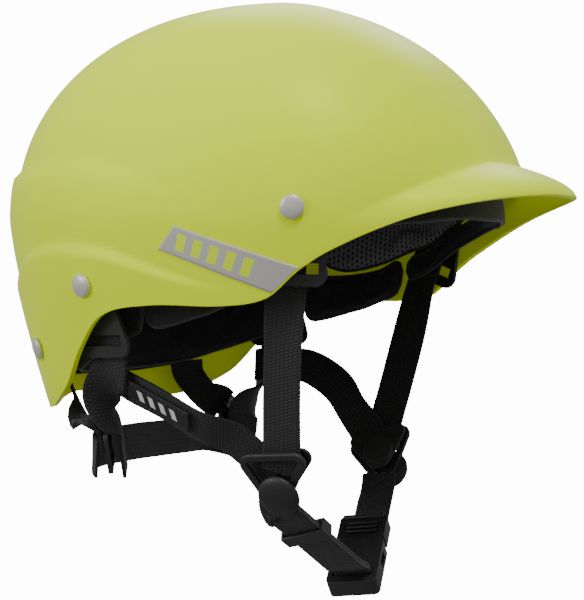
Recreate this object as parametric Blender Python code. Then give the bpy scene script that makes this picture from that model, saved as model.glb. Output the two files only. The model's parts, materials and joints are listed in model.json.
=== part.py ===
"""Open-face paddling helmet: hard shell, foam liner, pads, riveted harness and chin buckle.

Lengths are metres. +X is forward, +Y is the wearer's left and +Z is up. Shapes are set out about the
shell's widest level, and one parent empty lowers them so that the crown pad's seat is the origin.
"""

import math

import bmesh
import bpy
from mathutils import Vector

# Shell form, measured from the widest level.
CROWN_HEIGHT = 0.1055
FRONT_REACH = 0.1167
REAR_REACH = 0.1336
HALF_WIDTH = 0.1086
FRONT_SQUARENESS = 2.2
REAR_SQUARENESS = 2.28
FRONT_FULLNESS = 1.82
REAR_FULLNESS = 2.165
SIDE_FULLNESS = 2.2
REAR_TAPER = 0.203
SIDE_TAPER = 0.181
TAPER_POWER = 1.3
SHELL_WALL = 0.0028

# Brim and ledges.
BRIM_REACH = 0.026
BRIM_SPREAD = 29.4
BRIM_POWER = 2.5
BRIM_RISE = 0.011
BRIM_TIP_RISE = 0.004
UPPER_LEDGE = 0.0030
LOWER_LEDGE = 0.0022
LEDGE_RUN = 0.006
CROWN_RECESS_RADIUS = 0.013
CROWN_RECESS_DEPTH = 0.0014
CROWN_RECESS_EDGE = 0.0015

# Outlines around the head: angle from the front in degrees, height above the widest level.
RIM = [(0, 0.0136), (12, 0.0130), (25, 0.0092), (40, 0.0004), (55, -0.0133), (62, -0.0225),
       (69, -0.0345), (80, -0.0385), (100, -0.0392), (113, -0.0445), (122, -0.060), (131, -0.078),
       (145, -0.0897), (162, -0.0905), (180, -0.0865)]
UPPER_RIDGE = [(90, 0.010), (100, 0.017), (110, 0.0225), (122, 0.025), (140, 0.0227), (180, 0.020)]
LOWER_RIDGE = [(76, -0.030), (92, -0.025), (100, -0.0205), (109, -0.0153), (122, -0.0123),
               (130, -0.0135), (140, -0.019), (154, -0.032), (180, -0.037)]
LINER_EDGE = [(0, 0.022), (40, 0.022), (52, 0.020), (76, 0.018), (108, 0.018), (120, -0.012),
              (130, -0.014), (140, -0.038), (150, -0.042), (180, -0.042)]
BROW_EDGE = [(0, 0.003), (14, 0.003), (25, 0.001), (40, -0.0035), (54, -0.012), (74, -0.030)]
TEMPLE_EDGE = [(44, 0.011), (54, 0.004), (66, -0.010), (74, -0.015), (84, -0.022), (95, -0.026),
               (104, -0.023)]
EAR_EDGE = [(76, -0.039), (90, -0.0465), (108, -0.0535)]
EAR_TOP = [(76, -0.0180), (84, -0.0245), (95, -0.0280), (108, -0.0285)]
REAR_PAD_EDGE = [(109.5, -0.0560), (122, -0.0625), (135, -0.0700), (150, -0.0770), (180, -0.0800)]
REAR_PAD_TOP = [(109.5, -0.0360), (125, -0.0360), (133, -0.0450), (140, -0.0475), (180, -0.0475)]

# Layers under the shell, each measured inwards from the shell's outer face.
LINER_GAP = 0.0014
LINER_THICKNESS = 0.012
PAD_DEPTH = 0.0125
PAD_THICKNESS = 0.0065
BROW_PAD_HEIGHT = 0.0135
TEMPLE_PAD_TOP = 0.0165
CROWN_PAD_LENGTH = 0.070
CROWN_PAD_WIDTH = 0.056
CROWN_PAD_THICKNESS = 0.008
LAYER_GAP = 0.0004

# Rivets, hangers and the nape cradle.
FRONT_RIVET = (63.6, 0.005)
REAR_UPPER_RIVET = (117.0, -0.031)
REAR_LOWER_RIVET = (141.5, -0.0614)
RIVET_HOLE_REACH = (-0.012, 0.006)
RIVET_HEAD_RADIUS = 0.0054
RIVET_HEAD_HEIGHT = 0.0026
RIVET_SHANK_RADIUS = 0.0024
SHANK_CLEARANCE = 0.0003
HEAD_GAP = 0.0005
WASHER_RADIUS = 0.0055
WASHER_THICKNESS = 0.0012
HANGER_DEPTH = 0.0062
HANGER_THICKNESS = 0.0020
HANGER_EYE_CLEARANCE = 0.0012
HANGER_LENGTH = 0.029
HANGER_HALF_WIDTH = 0.0100
HANGER_CORNER = 0.0060
HANGER_TOP_RADIUS = 0.0085
HANGER_LEAN = {"front_right": 1.0, "front_left": 16.0, "rear_upper_right": 0.0, "rear_upper_left": 0.0}
HANGER_SLIP = {"front": -0.0026, "rear_upper": 0.0}
HANGER_SLOT_SPARE = 0.0030
HANGER_SLOT_LENGTH = 0.0050
HANGER_FOOT_BAR = 0.0055
CRADLE_TOP = -0.052
CRADLE_BOTTOM = -0.078
CRADLE_START = 138.0

# Webbing.
WEB_WIDTH = 0.018
WEB_THICKNESS = 0.0016
DOUBLE_WEB_THICKNESS = 0.0028
WEB_CLEARANCE = 0.0006
STRAP_STEPS = 4

# Yokes: the plate's corner circles are (across, down, radius) from the yoke's centre.
YOKE_CORNERS = [(-0.0120, -0.002, 0.0055), (0.0090, -0.0095, 0.0050), (0.0015, 0.0115, 0.0062)]
YOKE_BACK_CORNERS = [(-0.0105, -0.003, 0.0045), (0.0095, -0.0085, 0.0045), (0.0010, 0.0040, 0.0075)]
YOKE_RIM = 0.0038
YOKE_THICKNESS = 0.0028
YOKE_CAP_DROP = 0.0085
YOKE_CAP_SHIFT = 0.0034
YOKE_CAP_RADIUS = 0.0100
YOKE_CAP_HEIGHT = 0.0042
YOKE_BACK_THICKNESS = 0.0018
YOKE_BOSS_RADIUS = 0.0080
YOKE_BOSS_CENTRE = (0.0010, 0.0010)
YOKE_BOSS_HEIGHT = 0.0016

# Buckle, set out along its own axis from the end bar.
BUCKLE_WIDTH = 0.025
BUCKLE_THICKNESS = 0.0095
SOCKET_LENGTH = 0.030
SOCKET_BAR = 0.0045
SOCKET_SLOT = 0.0055
SOCKET_WALL = 0.0018
SOCKET_FLOOR = 0.0115
SOCKET_CORNER = 0.0030
SOCKET_WINDOW = (0.0150, 0.0225)
SOCKET_WINDOW_LIP = 0.0006
CLIP_GAP = 0.0012
CLIP_LENGTH = 0.0155
CLIP_THICKNESS = 0.0084
TONGUE_WIDTH = 0.0075
TONGUE_THICKNESS = 0.0036
PRONG_WIDTH = 0.0030
PRONG_THICKNESS = 0.0050
PRONG_LENGTH = 0.0165
PRONG_GAP = 0.0006
PRONG_ROOT_GAP = 0.0009
CLIP_CORNER = 0.0020
CLIP_INSET = 0.0006
TONGUE_TIP_GAP = 0.0020
TUNNEL_WALL = 0.0014
CUT_REACH = 0.010
KEEPER_LENGTH = 0.008
KEEPER_WALL = 0.0018

# Strap label: a sewn patch proud of the tape.
LABEL_LENGTH = 0.037
LABEL_WIDTH = 0.0116
LABEL_LIFT = 0.0011
LABEL_THICKNESS = 0.0008

# Ladder locks at the nape.
LOCK_HALF_WIDTH = 0.0120
LOCK_HALF_HEIGHT = 0.0100
LOCK_THICKNESS = 0.0022
LOCK_BAR = 0.0026
LOCK_OFFSET = 0.0050
LOCK_CORNER = 0.0030
LOCK_WINDOW_SPARE = 0.0005
LOCK_BAND_GAP = 0.0014

ROUND_STEPS = 24
SHELL_SECTORS = 64
BRIM_ROWS = 4
DOME_ROWS = 11
BRIM_ROW_SHARE = 0.11
TOP_ROW_SHARE = 0.945

SEAT_HEIGHT = (CROWN_HEIGHT - SHELL_WALL - LINER_GAP - LINER_THICKNESS - LAYER_GAP
               - CROWN_PAD_THICKNESS)
SIDES = {"right": -1, "left": 1}

YELLOW = ((0.80, 0.90, 0.03), 0.42)
WEB_BLACK = ((0.016, 0.016, 0.017), 0.85)
PLASTIC_BLACK = ((0.022, 0.022, 0.023), 0.45)
FOAM_BLACK = ((0.020, 0.020, 0.021), 0.90)
MESH_GREY = ((0.090, 0.090, 0.092), 0.95)
RIVET_GREY = ((0.62, 0.61, 0.56), 0.35)
LABEL_BLACK = ((0.030, 0.030, 0.031), 0.70)


# ---------------------------------------------------------------- scene and mesh helpers

def clear_scene():
    for item in list(bpy.data.objects):
        bpy.data.objects.remove(item, do_unlink=True)


def finish(name, colour, metallic=0.0):
    """Return the named material, making it the first time."""
    material = bpy.data.materials.get(name)
    if material is None:
        material = bpy.data.materials.new(name)
        material.use_nodes = True
        shader = material.node_tree.nodes["Principled BSDF"]
        shader.inputs["Base Color"].default_value = (*colour[0], 1.0)
        shader.inputs["Roughness"].default_value = colour[1]
        shader.inputs["Metallic"].default_value = metallic
    return material


def add_object(name, mesh_builder, material, pivot):
    """Make an object from a bmesh; its mesh is set out about the pivot empty that carries it."""
    bmesh.ops.recalc_face_normals(mesh_builder, faces=mesh_builder.faces)
    bmesh.ops.translate(mesh_builder, verts=mesh_builder.verts, vec=-pivot.location)
    mesh = bpy.data.meshes.new(name)
    mesh_builder.to_mesh(mesh)
    mesh_builder.free()
    mesh.shade_smooth()
    mesh.set_sharp_from_angle(angle=math.radians(35))
    mesh.materials.append(material)
    item = bpy.data.objects.new(name, mesh)
    bpy.context.collection.objects.link(item)
    item.parent = pivot
    return item


def add_pivot(name, place, parent):
    """An empty on a joint's axis, for the pieces that move about it."""
    pivot = bpy.data.objects.new(name, None)
    pivot.empty_display_size = 0.02
    pivot.location = place
    bpy.context.collection.objects.link(pivot)
    pivot.parent = parent
    return pivot


def loft(rings, closed=False):
    """Bridge equal rings of points; the ends are capped unless the loft closes on itself."""
    builder = bmesh.new()
    rows = [[builder.verts.new(point) for point in ring] for ring in rings]
    pairs = list(zip(rows, rows[1:]))
    if closed:
        pairs.append((rows[-1], rows[0]))
    for lower, upper in pairs:
        for i in range(len(lower)):
            j = (i + 1) % len(lower)
            builder.faces.new((lower[i], lower[j], upper[j], upper[i]))
    if not closed:
        builder.faces.new(rows[0])
        builder.faces.new(rows[-1])
    return builder


def cone_end(builder, ring_points, tip):
    """Replace an end cap by a fan to one point."""
    cap = builder.faces.get(ring_points)
    bmesh.ops.delete(builder, geom=[cap], context="FACES_ONLY")
    centre = builder.verts.new(tip)
    for i in range(len(ring_points)):
        builder.faces.new((ring_points[i], ring_points[(i + 1) % len(ring_points)], centre))


def carve(target, cutter):
    """Subtract a cutter that stays in the file as a wire guide."""
    cutter.display_type = "WIRE"
    cutter.hide_render = True
    cut = target.modifiers.new(cutter.name, "BOOLEAN")
    cut.operation = "DIFFERENCE"
    cut.solver = "EXACT"
    cut.object = cutter


# ---------------------------------------------------------------- curves and the shell's form

def smooth_step(value):
    value = min(max(value, 0.0), 1.0)
    return value * value * (3 - 2 * value)


def along(outline, degrees):
    """Read a height outline at an angle, by a curve with level ends through its points."""
    degrees = min(max(degrees, outline[0][0]), outline[-1][0])
    for i in range(len(outline) - 1):
        if degrees <= outline[i + 1][0]:
            break
    (start, low), (end, high) = outline[i], outline[i + 1]
    span = end - start
    share = (degrees - start) / span
    slopes = []
    for k in (i, i + 1):
        if 0 < k < len(outline) - 1:
            run = outline[k + 1][0] - outline[k - 1][0]
            slopes.append((outline[k + 1][1] - outline[k - 1][1]) / run * span)
        else:
            slopes.append(0.0)
    square, cube = share ** 2, share ** 3
    return ((2 * cube - 3 * square + 1) * low + (cube - 2 * square + share) * slopes[0]
            + (3 * square - 2 * cube) * high + (cube - square) * slopes[1])


def off_front(angle):
    """Degrees away from straight ahead, the same on both sides."""
    return abs(math.degrees(math.atan2(math.sin(angle), math.cos(angle))))


def form_radius(angle, height, inset=0.0):
    """Distance from the middle to the plain form, drawn in by inset."""
    ahead, aside = abs(math.cos(angle)), abs(math.sin(angle))
    front = math.cos(angle) > 0
    reach = (FRONT_REACH if front else REAR_REACH) - inset
    square = FRONT_SQUARENESS if front else REAR_SQUARENESS
    radius = ((ahead / reach) ** square + (aside / (HALF_WIDTH - inset)) ** square) ** (-1 / square)
    if height > 0:
        fullness = (FRONT_FULLNESS if front else REAR_FULLNESS) * ahead ** 2 + SIDE_FULLNESS * aside ** 2
        share = min(height / (CROWN_HEIGHT - inset), 1.0)
        return radius * max(1 - share ** fullness, 0.0) ** (1 / fullness)
    taper = SIDE_TAPER * aside ** 2 + (SIDE_TAPER if front else REAR_TAPER) * ahead ** 2
    return radius * (1 - taper * (-height / 0.1) ** TAPER_POWER)


def polar(angle, radius, height):
    return Vector((radius * math.cos(angle), radius * math.sin(angle), height))


def shell_radius(angle, height):
    """The plain form with its brim and its two swept ledges."""
    turn = off_front(angle)
    radius = form_radius(angle, height)
    flare = BRIM_REACH * math.exp(-((turn / BRIM_SPREAD) ** BRIM_POWER))
    rise = BRIM_RISE + BRIM_TIP_RISE * flare / BRIM_REACH
    up = (height - along(RIM, turn)) / rise
    if up < 1:
        radius += flare * (1 - max(up, 0.0) ** 2)
    upper = smooth_step((turn - 90) / 26) * smooth_step((along(UPPER_RIDGE, turn) - height) / LEDGE_RUN)
    lower = smooth_step((turn - 76) / 30) * smooth_step((along(LOWER_RIDGE, turn) - height) / LEDGE_RUN)
    return radius + UPPER_LEDGE * upper + LOWER_LEDGE * lower


def shell_point(angle, height):
    return polar(angle, shell_radius(angle, height), height)


def inset_point(angle, height, depth):
    """A point that lies depth inside the plain form, square to it."""
    step, rise = 0.01, 0.0005
    here = polar(angle, form_radius(angle, height), height)
    beside = polar(angle + step, form_radius(angle + step, height), height)
    above = polar(angle, form_radius(angle, height + rise), height + rise)
    outward = (beside - here).cross(above - here).normalized()
    return here - outward * depth


# ---------------------------------------------------------------- local set-outs

class Seat:
    """A local set-out: across, down and outward from a point."""

    def __init__(self, origin, across, down, outward):
        self.origin = origin
        self.down = down.normalized()
        self.across = (across - self.down * across.dot(self.down)).normalized()
        self.outward = self.across.cross(self.down)
        if self.outward.dot(outward) < 0:
            self.outward = -self.outward

    def leaned(self, degrees):
        """The same set-out with its lower end swung rearwards."""
        lean = math.radians(degrees)
        down = self.down * math.cos(lean) - self.across * math.sin(lean)
        return Seat(self.origin, self.across, down, self.outward)

    def at(self, across, down, outward):
        return (self.origin + self.across * across + self.down * down + self.outward * outward)


def shell_seat(spot, side):
    """A set-out on the shell's outer face, with down running towards the rim."""
    angle = math.radians(spot[0]) * side
    origin = shell_point(angle, spot[1])
    down = shell_point(angle, spot[1] - 0.02) - origin
    outward = Vector((math.cos(angle), math.sin(angle), 0))
    step = 0.02 * side
    across = shell_point(angle - step, spot[1]) - shell_point(angle + step, spot[1])
    return Seat(origin, across, down, outward)


def round_hull(circles, shrink=0.0, steps=ROUND_STEPS):
    """The outline wrapped round some circles, drawn in by shrink."""
    outline = []
    for i in range(steps):
        turn = 2 * math.pi * (i + 0.5) / steps
        x, y = math.cos(turn), math.sin(turn)
        a, b, r = max(circles, key=lambda c: c[0] * x + c[1] * y + c[2])
        outline.append((a + (r - shrink) * x, b + (r - shrink) * y))
    return outline


def slab(seat, outline, low, high):
    """An outline in the set-out's plane, extruded from low to high along its outward axis."""
    return loft([[seat.at(a, d, level) for a, d in outline] for level in (low, high)])


def box_solid(seat, across, down, outward):
    """A plain block between pairs of limits along the set-out's three axes."""
    corners = [(across[0], down[0]), (across[1], down[0]), (across[1], down[1]), (across[0], down[1])]
    return slab(seat, corners, outward[0], outward[1])


def turned(seat, profile, down=0.0, across=0.0):
    """A solid turned about the outward axis; profile runs (radius, level) from one end to the other."""
    rings = []
    for radius, level in profile:
        ring = []
        for i in range(ROUND_STEPS):
            turn = 2 * math.pi * i / ROUND_STEPS
            ring.append(seat.at(across + radius * math.cos(turn), down + radius * math.sin(turn), level))
        rings.append(ring)
    return loft(rings)


def domed(radius, low, height):
    """A disc's profile with a domed top."""
    steps = 4
    profile = [(radius, low)]
    for i in range(steps):
        turn = math.pi / 2 * i / steps
        profile.append((radius * math.cos(turn), low + height * (0.35 + 0.65 * math.sin(turn))))
    profile.append((radius * 0.12, low + height))
    return profile


def curve_through(stations, steps=STRAP_STEPS):
    """A smooth run through hand-placed stations of (point, across)."""
    run = []
    last = len(stations) - 1
    for i in range(last):
        before, start = stations[max(i - 1, 0)], stations[i]
        end, after = stations[i + 1], stations[min(i + 2, last)]
        count = steps + 1 if i == last - 1 else steps
        for k in range(count):
            t = k / steps
            place, across = [
                0.5 * (2 * start[j] + (end[j] - before[j]) * t
                       + (2 * before[j] - 5 * start[j] + 4 * end[j] - after[j]) * t ** 2
                       + (3 * start[j] - before[j] - 3 * end[j] + after[j]) * t ** 3)
                for j in (0, 1)]
            run.append((place, across))
    return run


def webbing(stations, thickness=WEB_THICKNESS, width=WEB_WIDTH):
    """Flat webbing along stations of (point, across)."""
    run = curve_through(stations)
    rings = []
    for i, (place, across) in enumerate(run):
        ahead = (run[min(i + 1, len(run) - 1)][0] - run[max(i - 1, 0)][0]).normalized()
        across = (across - ahead * across.dot(ahead)).normalized()
        face = ahead.cross(across)
        rings.append([place + across * a * width / 2 + face * b * thickness / 2
                      for a, b in ((-1, -1), (1, -1), (1, 1), (-1, 1))])
    builder = loft(rings)
    bmesh.ops.triangulate(builder, faces=builder.faces)
    return builder


def band_on_form(start, end, sectors, low, high, depth, thickness, rows=3):
    """A closed band between two angles and two height outlines, lying depth inside the form."""
    rings = []
    for i in range(sectors + 1):
        angle = math.radians(start + (end - start) * i / sectors)
        turn = off_front(angle)
        bottom, top = low(turn), high(turn)
        levels = [bottom + (top - bottom) * k / rows for k in range(rows + 1)]
        ring = [inset_point(angle, level, depth) for level in levels]
        ring += [inset_point(angle, level, depth + thickness) for level in reversed(levels)]
        rings.append(ring)
    return loft(rings)


# ---------------------------------------------------------------- shell, liner and pads

def rise_rows():
    """Shares of the climb from rim to crown: close rows in the brim, then even ones."""
    brim = [BRIM_ROW_SHARE * i / BRIM_ROWS for i in range(BRIM_ROWS)]
    step = (TOP_ROW_SHARE - BRIM_ROW_SHARE) / DOME_ROWS
    return brim + [BRIM_ROW_SHARE + step * i for i in range(DOME_ROWS + 1)]


def shell_row(rise):
    """One ring of the shell's outer face."""
    ring = []
    for i in range(SHELL_SECTORS):
        angle = 2 * math.pi * i / SHELL_SECTORS
        rim = along(RIM, off_front(angle))
        height = rim + (CROWN_HEIGHT - rim) * math.sin(rise * math.pi / 2)
        ring.append(shell_point(angle, height))
    return ring


def inner_rows(rows):
    """The rows moved in by the wall, square to the face."""
    moved = []
    for k, row in enumerate(rows):
        above, below = rows[min(k + 1, len(rows) - 1)], rows[max(k - 1, 0)]
        ring = []
        for i, point in enumerate(row):
            beside = row[(i + 1) % len(row)] - row[i - 1]
            outward = beside.cross(above[i] - below[i]).normalized()
            ring.append(point - outward * SHELL_WALL)
        moved.append(ring)
    return moved


def recess_rows():
    """The crown recess: the form's face at its lip, then the foot of its wall."""
    rows = []
    foot = CROWN_RECESS_RADIUS - CROWN_RECESS_EDGE
    for radius, drop in ((CROWN_RECESS_RADIUS, 0.0), (foot, CROWN_RECESS_DEPTH)):
        ring = []
        for i in range(SHELL_SECTORS):
            angle = 2 * math.pi * i / SHELL_SECTORS
            height = height_over(radius * math.cos(angle), radius * math.sin(angle), 0.0)
            ring.append(polar(angle, radius, height - drop))
        rows.append(ring)
    return rows


def build_shell(pivot, seats):
    outer = [shell_row(rise) for rise in rise_rows()]
    inner = inner_rows(outer)
    outer += recess_rows()
    builder = loft(list(reversed(inner)) + outer)
    builder.verts.ensure_lookup_table()
    first = list(builder.verts)[:SHELL_SECTORS]
    last = list(builder.verts)[-SHELL_SECTORS:]
    cone_end(builder, first, Vector((0, 0, CROWN_HEIGHT - SHELL_WALL)))
    cone_end(builder, last, Vector((0, 0, last[0].co.z)))
    shell = add_object("shell", builder, finish("shell_yellow", YELLOW), pivot)
    for name, seat in seats.items():
        radius = RIVET_SHANK_RADIUS + SHANK_CLEARANCE
        hole = turned(seat, [(radius, level) for level in RIVET_HOLE_REACH])
        carve(shell, add_object("hole_" + name, hole, finish("guide", YELLOW), pivot))


def build_liner(pivot):
    """Foam cap under the dome, open at the front, sides and back for the pads and hangers."""
    sectors, rows = 48, 8
    faces = []
    for inset in (SHELL_WALL + LINER_GAP, SHELL_WALL + LINER_GAP + LINER_THICKNESS):
        rings = []
        for k in range(rows + 1):
            ring = []
            for i in range(sectors):
                angle = 2 * math.pi * i / sectors
                low = along(LINER_EDGE, off_front(angle))
                height = low + (CROWN_HEIGHT - inset - low) * math.sin(0.97 * k / rows * math.pi / 2)
                ring.append(polar(angle, form_radius(angle, height, inset), height))
            rings.append(ring)
        faces.append(rings)
    outer, inner = faces
    builder = loft(list(reversed(inner)) + outer)
    builder.verts.ensure_lookup_table()
    verts = list(builder.verts)
    top = CROWN_HEIGHT - SHELL_WALL - LINER_GAP
    cone_end(builder, verts[:sectors], Vector((0, 0, top - LINER_THICKNESS)))
    cone_end(builder, verts[-sectors:], Vector((0, 0, top)))
    add_object("foam_liner", builder, finish("liner_foam", FOAM_BLACK), pivot)


def build_crown_pad(pivot):
    """Oval pad with a flat seat below; its upper face follows the liner."""
    inset = SHELL_WALL + LINER_GAP + LINER_THICKNESS + LAYER_GAP
    rings = []
    for share, lift in ((0.94, 0.0), (1.0, 0.0012), (1.0, None), (0.6, None), (0.25, None)):
        ring = []
        for i in range(ROUND_STEPS):
            turn = 2 * math.pi * i / ROUND_STEPS
            x = CROWN_PAD_LENGTH / 2 * share * math.cos(turn)
            y = CROWN_PAD_WIDTH / 2 * share * math.sin(turn)
            if lift is None:
                ring.append(Vector((x, y, height_over(x, y, inset) - LAYER_GAP)))
            else:
                ring.append(Vector((x, y, SEAT_HEIGHT + lift)))
        rings.append(ring)
    add_object("crown_pad", loft(rings), finish("pad_fabric", FOAM_BLACK), pivot)


def height_over(x, y, inset):
    """Height of the form's inset surface over a point near the crown, found by halving."""
    angle = math.atan2(y, x)
    reach = math.hypot(x, y)
    low, high = 0.0, CROWN_HEIGHT - inset
    for _ in range(40):
        middle = (low + high) / 2
        if form_radius(angle, middle, inset) > reach:
            low = middle
        else:
            high = middle
    return low


def build_pads(pivot):
    fabric = finish("pad_fabric", FOAM_BLACK)
    brow_end = BROW_EDGE[-1][0]
    brow = band_on_form(-brow_end, brow_end, 30, lambda t: along(BROW_EDGE, t),
                        lambda t: along(BROW_EDGE, t) + BROW_PAD_HEIGHT, PAD_DEPTH, PAD_THICKNESS)
    add_object("brow_pad", brow, fabric, pivot)
    for name, side in SIDES.items():
        temple = band_on_form(TEMPLE_EDGE[0][0] * side, TEMPLE_EDGE[-1][0] * side, 12,
                              lambda t: along(TEMPLE_EDGE, t), lambda t: TEMPLE_PAD_TOP,
                              PAD_DEPTH, PAD_THICKNESS)
        add_object("temple_pad_" + name, temple, finish("mesh_fabric", MESH_GREY), pivot)
        ear = band_on_form(EAR_EDGE[0][0] * side, EAR_EDGE[-1][0] * side, 8,
                           lambda t: along(EAR_EDGE, t), lambda t: along(EAR_TOP, t),
                           PAD_DEPTH, PAD_THICKNESS)
        add_object("ear_pad_" + name, ear, fabric, pivot)
    start = REAR_PAD_EDGE[0][0]
    rear = band_on_form(start, 360 - start, 28, lambda t: along(REAR_PAD_EDGE, t),
                        lambda t: along(REAR_PAD_TOP, t), PAD_DEPTH, PAD_THICKNESS)
    add_object("rear_pad", rear, fabric, pivot)


def build_rivets(pivot, seats):
    for name, seat in seats.items():
        inner_end = -(HANGER_DEPTH + HANGER_THICKNESS + WASHER_THICKNESS + 3 * LAYER_GAP)
        profile = [(RIVET_SHANK_RADIUS, inner_end), (RIVET_SHANK_RADIUS, HEAD_GAP)]
        profile += domed(RIVET_HEAD_RADIUS, HEAD_GAP, RIVET_HEAD_HEIGHT)
        rivet = turned(seat, profile)
        add_object("rivet_" + name, rivet, finish("rivet_metal", RIVET_GREY, 0.6), pivot)
        top = -(HANGER_DEPTH + HANGER_THICKNESS + LAYER_GAP)
        hole = RIVET_SHANK_RADIUS + SHANK_CLEARANCE / 2
        outer = [(WASHER_RADIUS, top), (WASHER_RADIUS, top - WASHER_THICKNESS)]
        rings = [(hole, top), *outer, (hole, top - WASHER_THICKNESS)]
        washer = loft([[seat.at(r * math.cos(t), r * math.sin(t), level)
                        for t in (2 * math.pi * i / ROUND_STEPS for i in range(ROUND_STEPS))]
                       for r, level in rings], closed=True)
        add_object("washer_" + name, washer, finish("rivet_metal", RIVET_GREY, 0.6), pivot)


# ---------------------------------------------------------------- harness

def build_hanger(name, seat, pivot):
    """Moulded tab on a rivet: a round eye above and a wide slot for the webbing below."""
    black = finish("harness_plastic", PLASTIC_BLACK)
    corners = [(0, 0, HANGER_TOP_RADIUS), (-HANGER_HALF_WIDTH, HANGER_LENGTH, HANGER_CORNER),
               (HANGER_HALF_WIDTH, HANGER_LENGTH, HANGER_CORNER)]
    top, bottom = -HANGER_DEPTH, -HANGER_DEPTH - HANGER_THICKNESS
    tab = add_object(name, slab(seat, round_hull(corners), bottom, top), black, pivot)
    eye = RIVET_SHANK_RADIUS + HANGER_EYE_CLEARANCE
    reach = HANGER_THICKNESS
    carve(tab, add_object(name + "_eye", turned(seat, [(eye, bottom - reach), (eye, top + reach)]),
                          black, pivot))
    slot_half = WEB_WIDTH / 2 + HANGER_SLOT_SPARE
    slot_end = HANGER_LENGTH + HANGER_CORNER - HANGER_FOOT_BAR
    slot = box_solid(seat, (-slot_half, slot_half), (slot_end - HANGER_SLOT_LENGTH, slot_end),
                     (bottom - reach, top + reach))
    carve(tab, add_object(name + "_slot", slot, black, pivot))


def hanger_web_start(seat, slip):
    """Stations of webbing behind a hanger's slot, slipped along the slot, then clear below it."""
    depth = -(HANGER_DEPTH + HANGER_THICKNESS + WEB_CLEARANCE + WEB_THICKNESS / 2)
    return [(seat.at(slip, HANGER_LENGTH - 0.009, depth), seat.across),
            (seat.at(slip, HANGER_LENGTH + 0.001, depth), seat.across),
            (seat.at(slip, HANGER_LENGTH + 0.010, depth - 0.0008), seat.across)]


# Harness places are (ahead, inward of the shell's half width, height).
YOKE_PLACES = {
    "right": ((0.0312, 0.0351, -0.1142), (-0.228, 0.390, -0.890)),
    "left": ((0.0248, 0.0438, -0.1150), (0.087, -0.410, -0.908)),
}


def hung(place, side):
    """A harness place as a point on one side of the helmet."""
    ahead, inward, height = place
    return Vector((ahead, side * (HALF_WIDTH - inward), height))


def yoke_seat(name):
    place, down = YOKE_PLACES[name]
    side = SIDES[name]
    return Seat(hung(place, side), Vector((1, 0, 0)), Vector(down), Vector((0, side, -0.4)))


WEB_LAYER = -(YOKE_THICKNESS / 2 + WEB_CLEARANCE + WEB_THICKNESS / 2)
REAR_LAYER = WEB_LAYER - WEB_THICKNESS - WEB_CLEARANCE
BACK_LAYER = REAR_LAYER - WEB_THICKNESS / 2 - WEB_CLEARANCE


def build_yoke(name, pivot):
    """Window frame and cap outside, back plate with a boss inside, webbing between them."""
    seat = yoke_seat(name)
    black = finish("harness_plastic", PLASTIC_BLACK)
    outer, window = round_hull(YOKE_CORNERS), round_hull(YOKE_CORNERS, YOKE_RIM)
    half = YOKE_THICKNESS / 2
    frame = loft([[seat.at(a, d, level) for a, d in outline]
                  for outline, level in ((outer, -half), (outer, half), (window, half), (window, -half))],
                 closed=True)
    add_object("yoke_frame_" + name, frame, black, pivot)
    profile = domed(YOKE_CAP_RADIUS, half + LAYER_GAP, YOKE_CAP_HEIGHT)
    cap = turned(seat, profile, YOKE_CAP_DROP, YOKE_CAP_SHIFT)
    add_object("yoke_cap_" + name, cap, black, pivot)
    plate_low = BACK_LAYER - YOKE_BACK_THICKNESS
    plate = round_hull(YOKE_BACK_CORNERS)
    boss = round_hull([(*YOKE_BOSS_CENTRE, YOKE_BOSS_RADIUS)])
    levels = ((plate, BACK_LAYER), (plate, plate_low), (boss, plate_low),
              (boss, plate_low - YOKE_BOSS_HEIGHT))
    back = loft([[seat.at(a, d, level) for a, d in outline] for outline, level in levels])
    add_object("yoke_back_" + name, back, black, pivot)


LABEL_STRAP_REAR = {
    "right": [((-0.0540, 0.0354, -0.0722), (-0.28, 0.56, -0.77)),
              ((-0.0450, 0.0324, -0.0766), (-0.28, 0.56, -0.77)),
              ((-0.0234, 0.0266, -0.0837), (-0.28, 0.56, -0.77)),
              ((-0.0026, 0.0266, -0.0935), (-0.28, 0.56, -0.77))],
    "left": [((-0.0530, 0.0351, -0.0736), (-0.12, -0.45, -0.85)),
             ((-0.0420, 0.0321, -0.0730), (-0.16, -0.45, -0.85)),
             ((-0.0250, 0.0291, -0.0735), (-0.35, -0.40, -0.80)),
             ((-0.0067, 0.0321, -0.0825), (-0.58, -0.20, -0.72)),
             ((0.0050, 0.0380, -0.0945), (-0.66, 0.0, -0.70))],
}
LABEL_STRAP_LEAN = {"right": 0.50, "left": 0.85}
LABEL_STRAP_ENTRY = {"right": ((-0.0240, -0.0095), (-0.0125, -0.0035), (-0.0010, 0.0025)),
                     "left": ((-0.0080, -0.0105), (-0.0010, 0.0010))}


def stations(points, side):
    return [(hung(place, side), Vector(across)) for place, across in points]


def build_chin_straps(name, side, hanger, pivot):
    """The front strap and the rearward label strap of one side."""
    web = finish("webbing", WEB_BLACK)
    yoke = yoke_seat(name)
    forward = Vector((1, 0, 0))
    start = hanger_web_start(hanger, HANGER_SLIP["front"])
    top = start[-1][0]
    enter = yoke.at(0.0010, -0.013, WEB_LAYER)
    front = start + [(top.lerp(enter, 0.35) + Vector((0, side * 0.0012, 0)), forward),
                     (top.lerp(enter, 0.70) + Vector((0, side * 0.0010, 0)), forward),
                     (enter, yoke.across), (yoke.at(0.0010, 0.0, WEB_LAYER), yoke.across)]
    add_object("front_strap_" + name, webbing(front), web, pivot)
    rear = stations(LABEL_STRAP_REAR[name], side)
    lean = yoke.down - yoke.across * LABEL_STRAP_LEAN[name]
    rear += [(yoke.at(across, down, REAR_LAYER), lean) for across, down in LABEL_STRAP_ENTRY[name]]
    add_object("label_strap_" + name, webbing(rear), web, pivot)
    return rear


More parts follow.
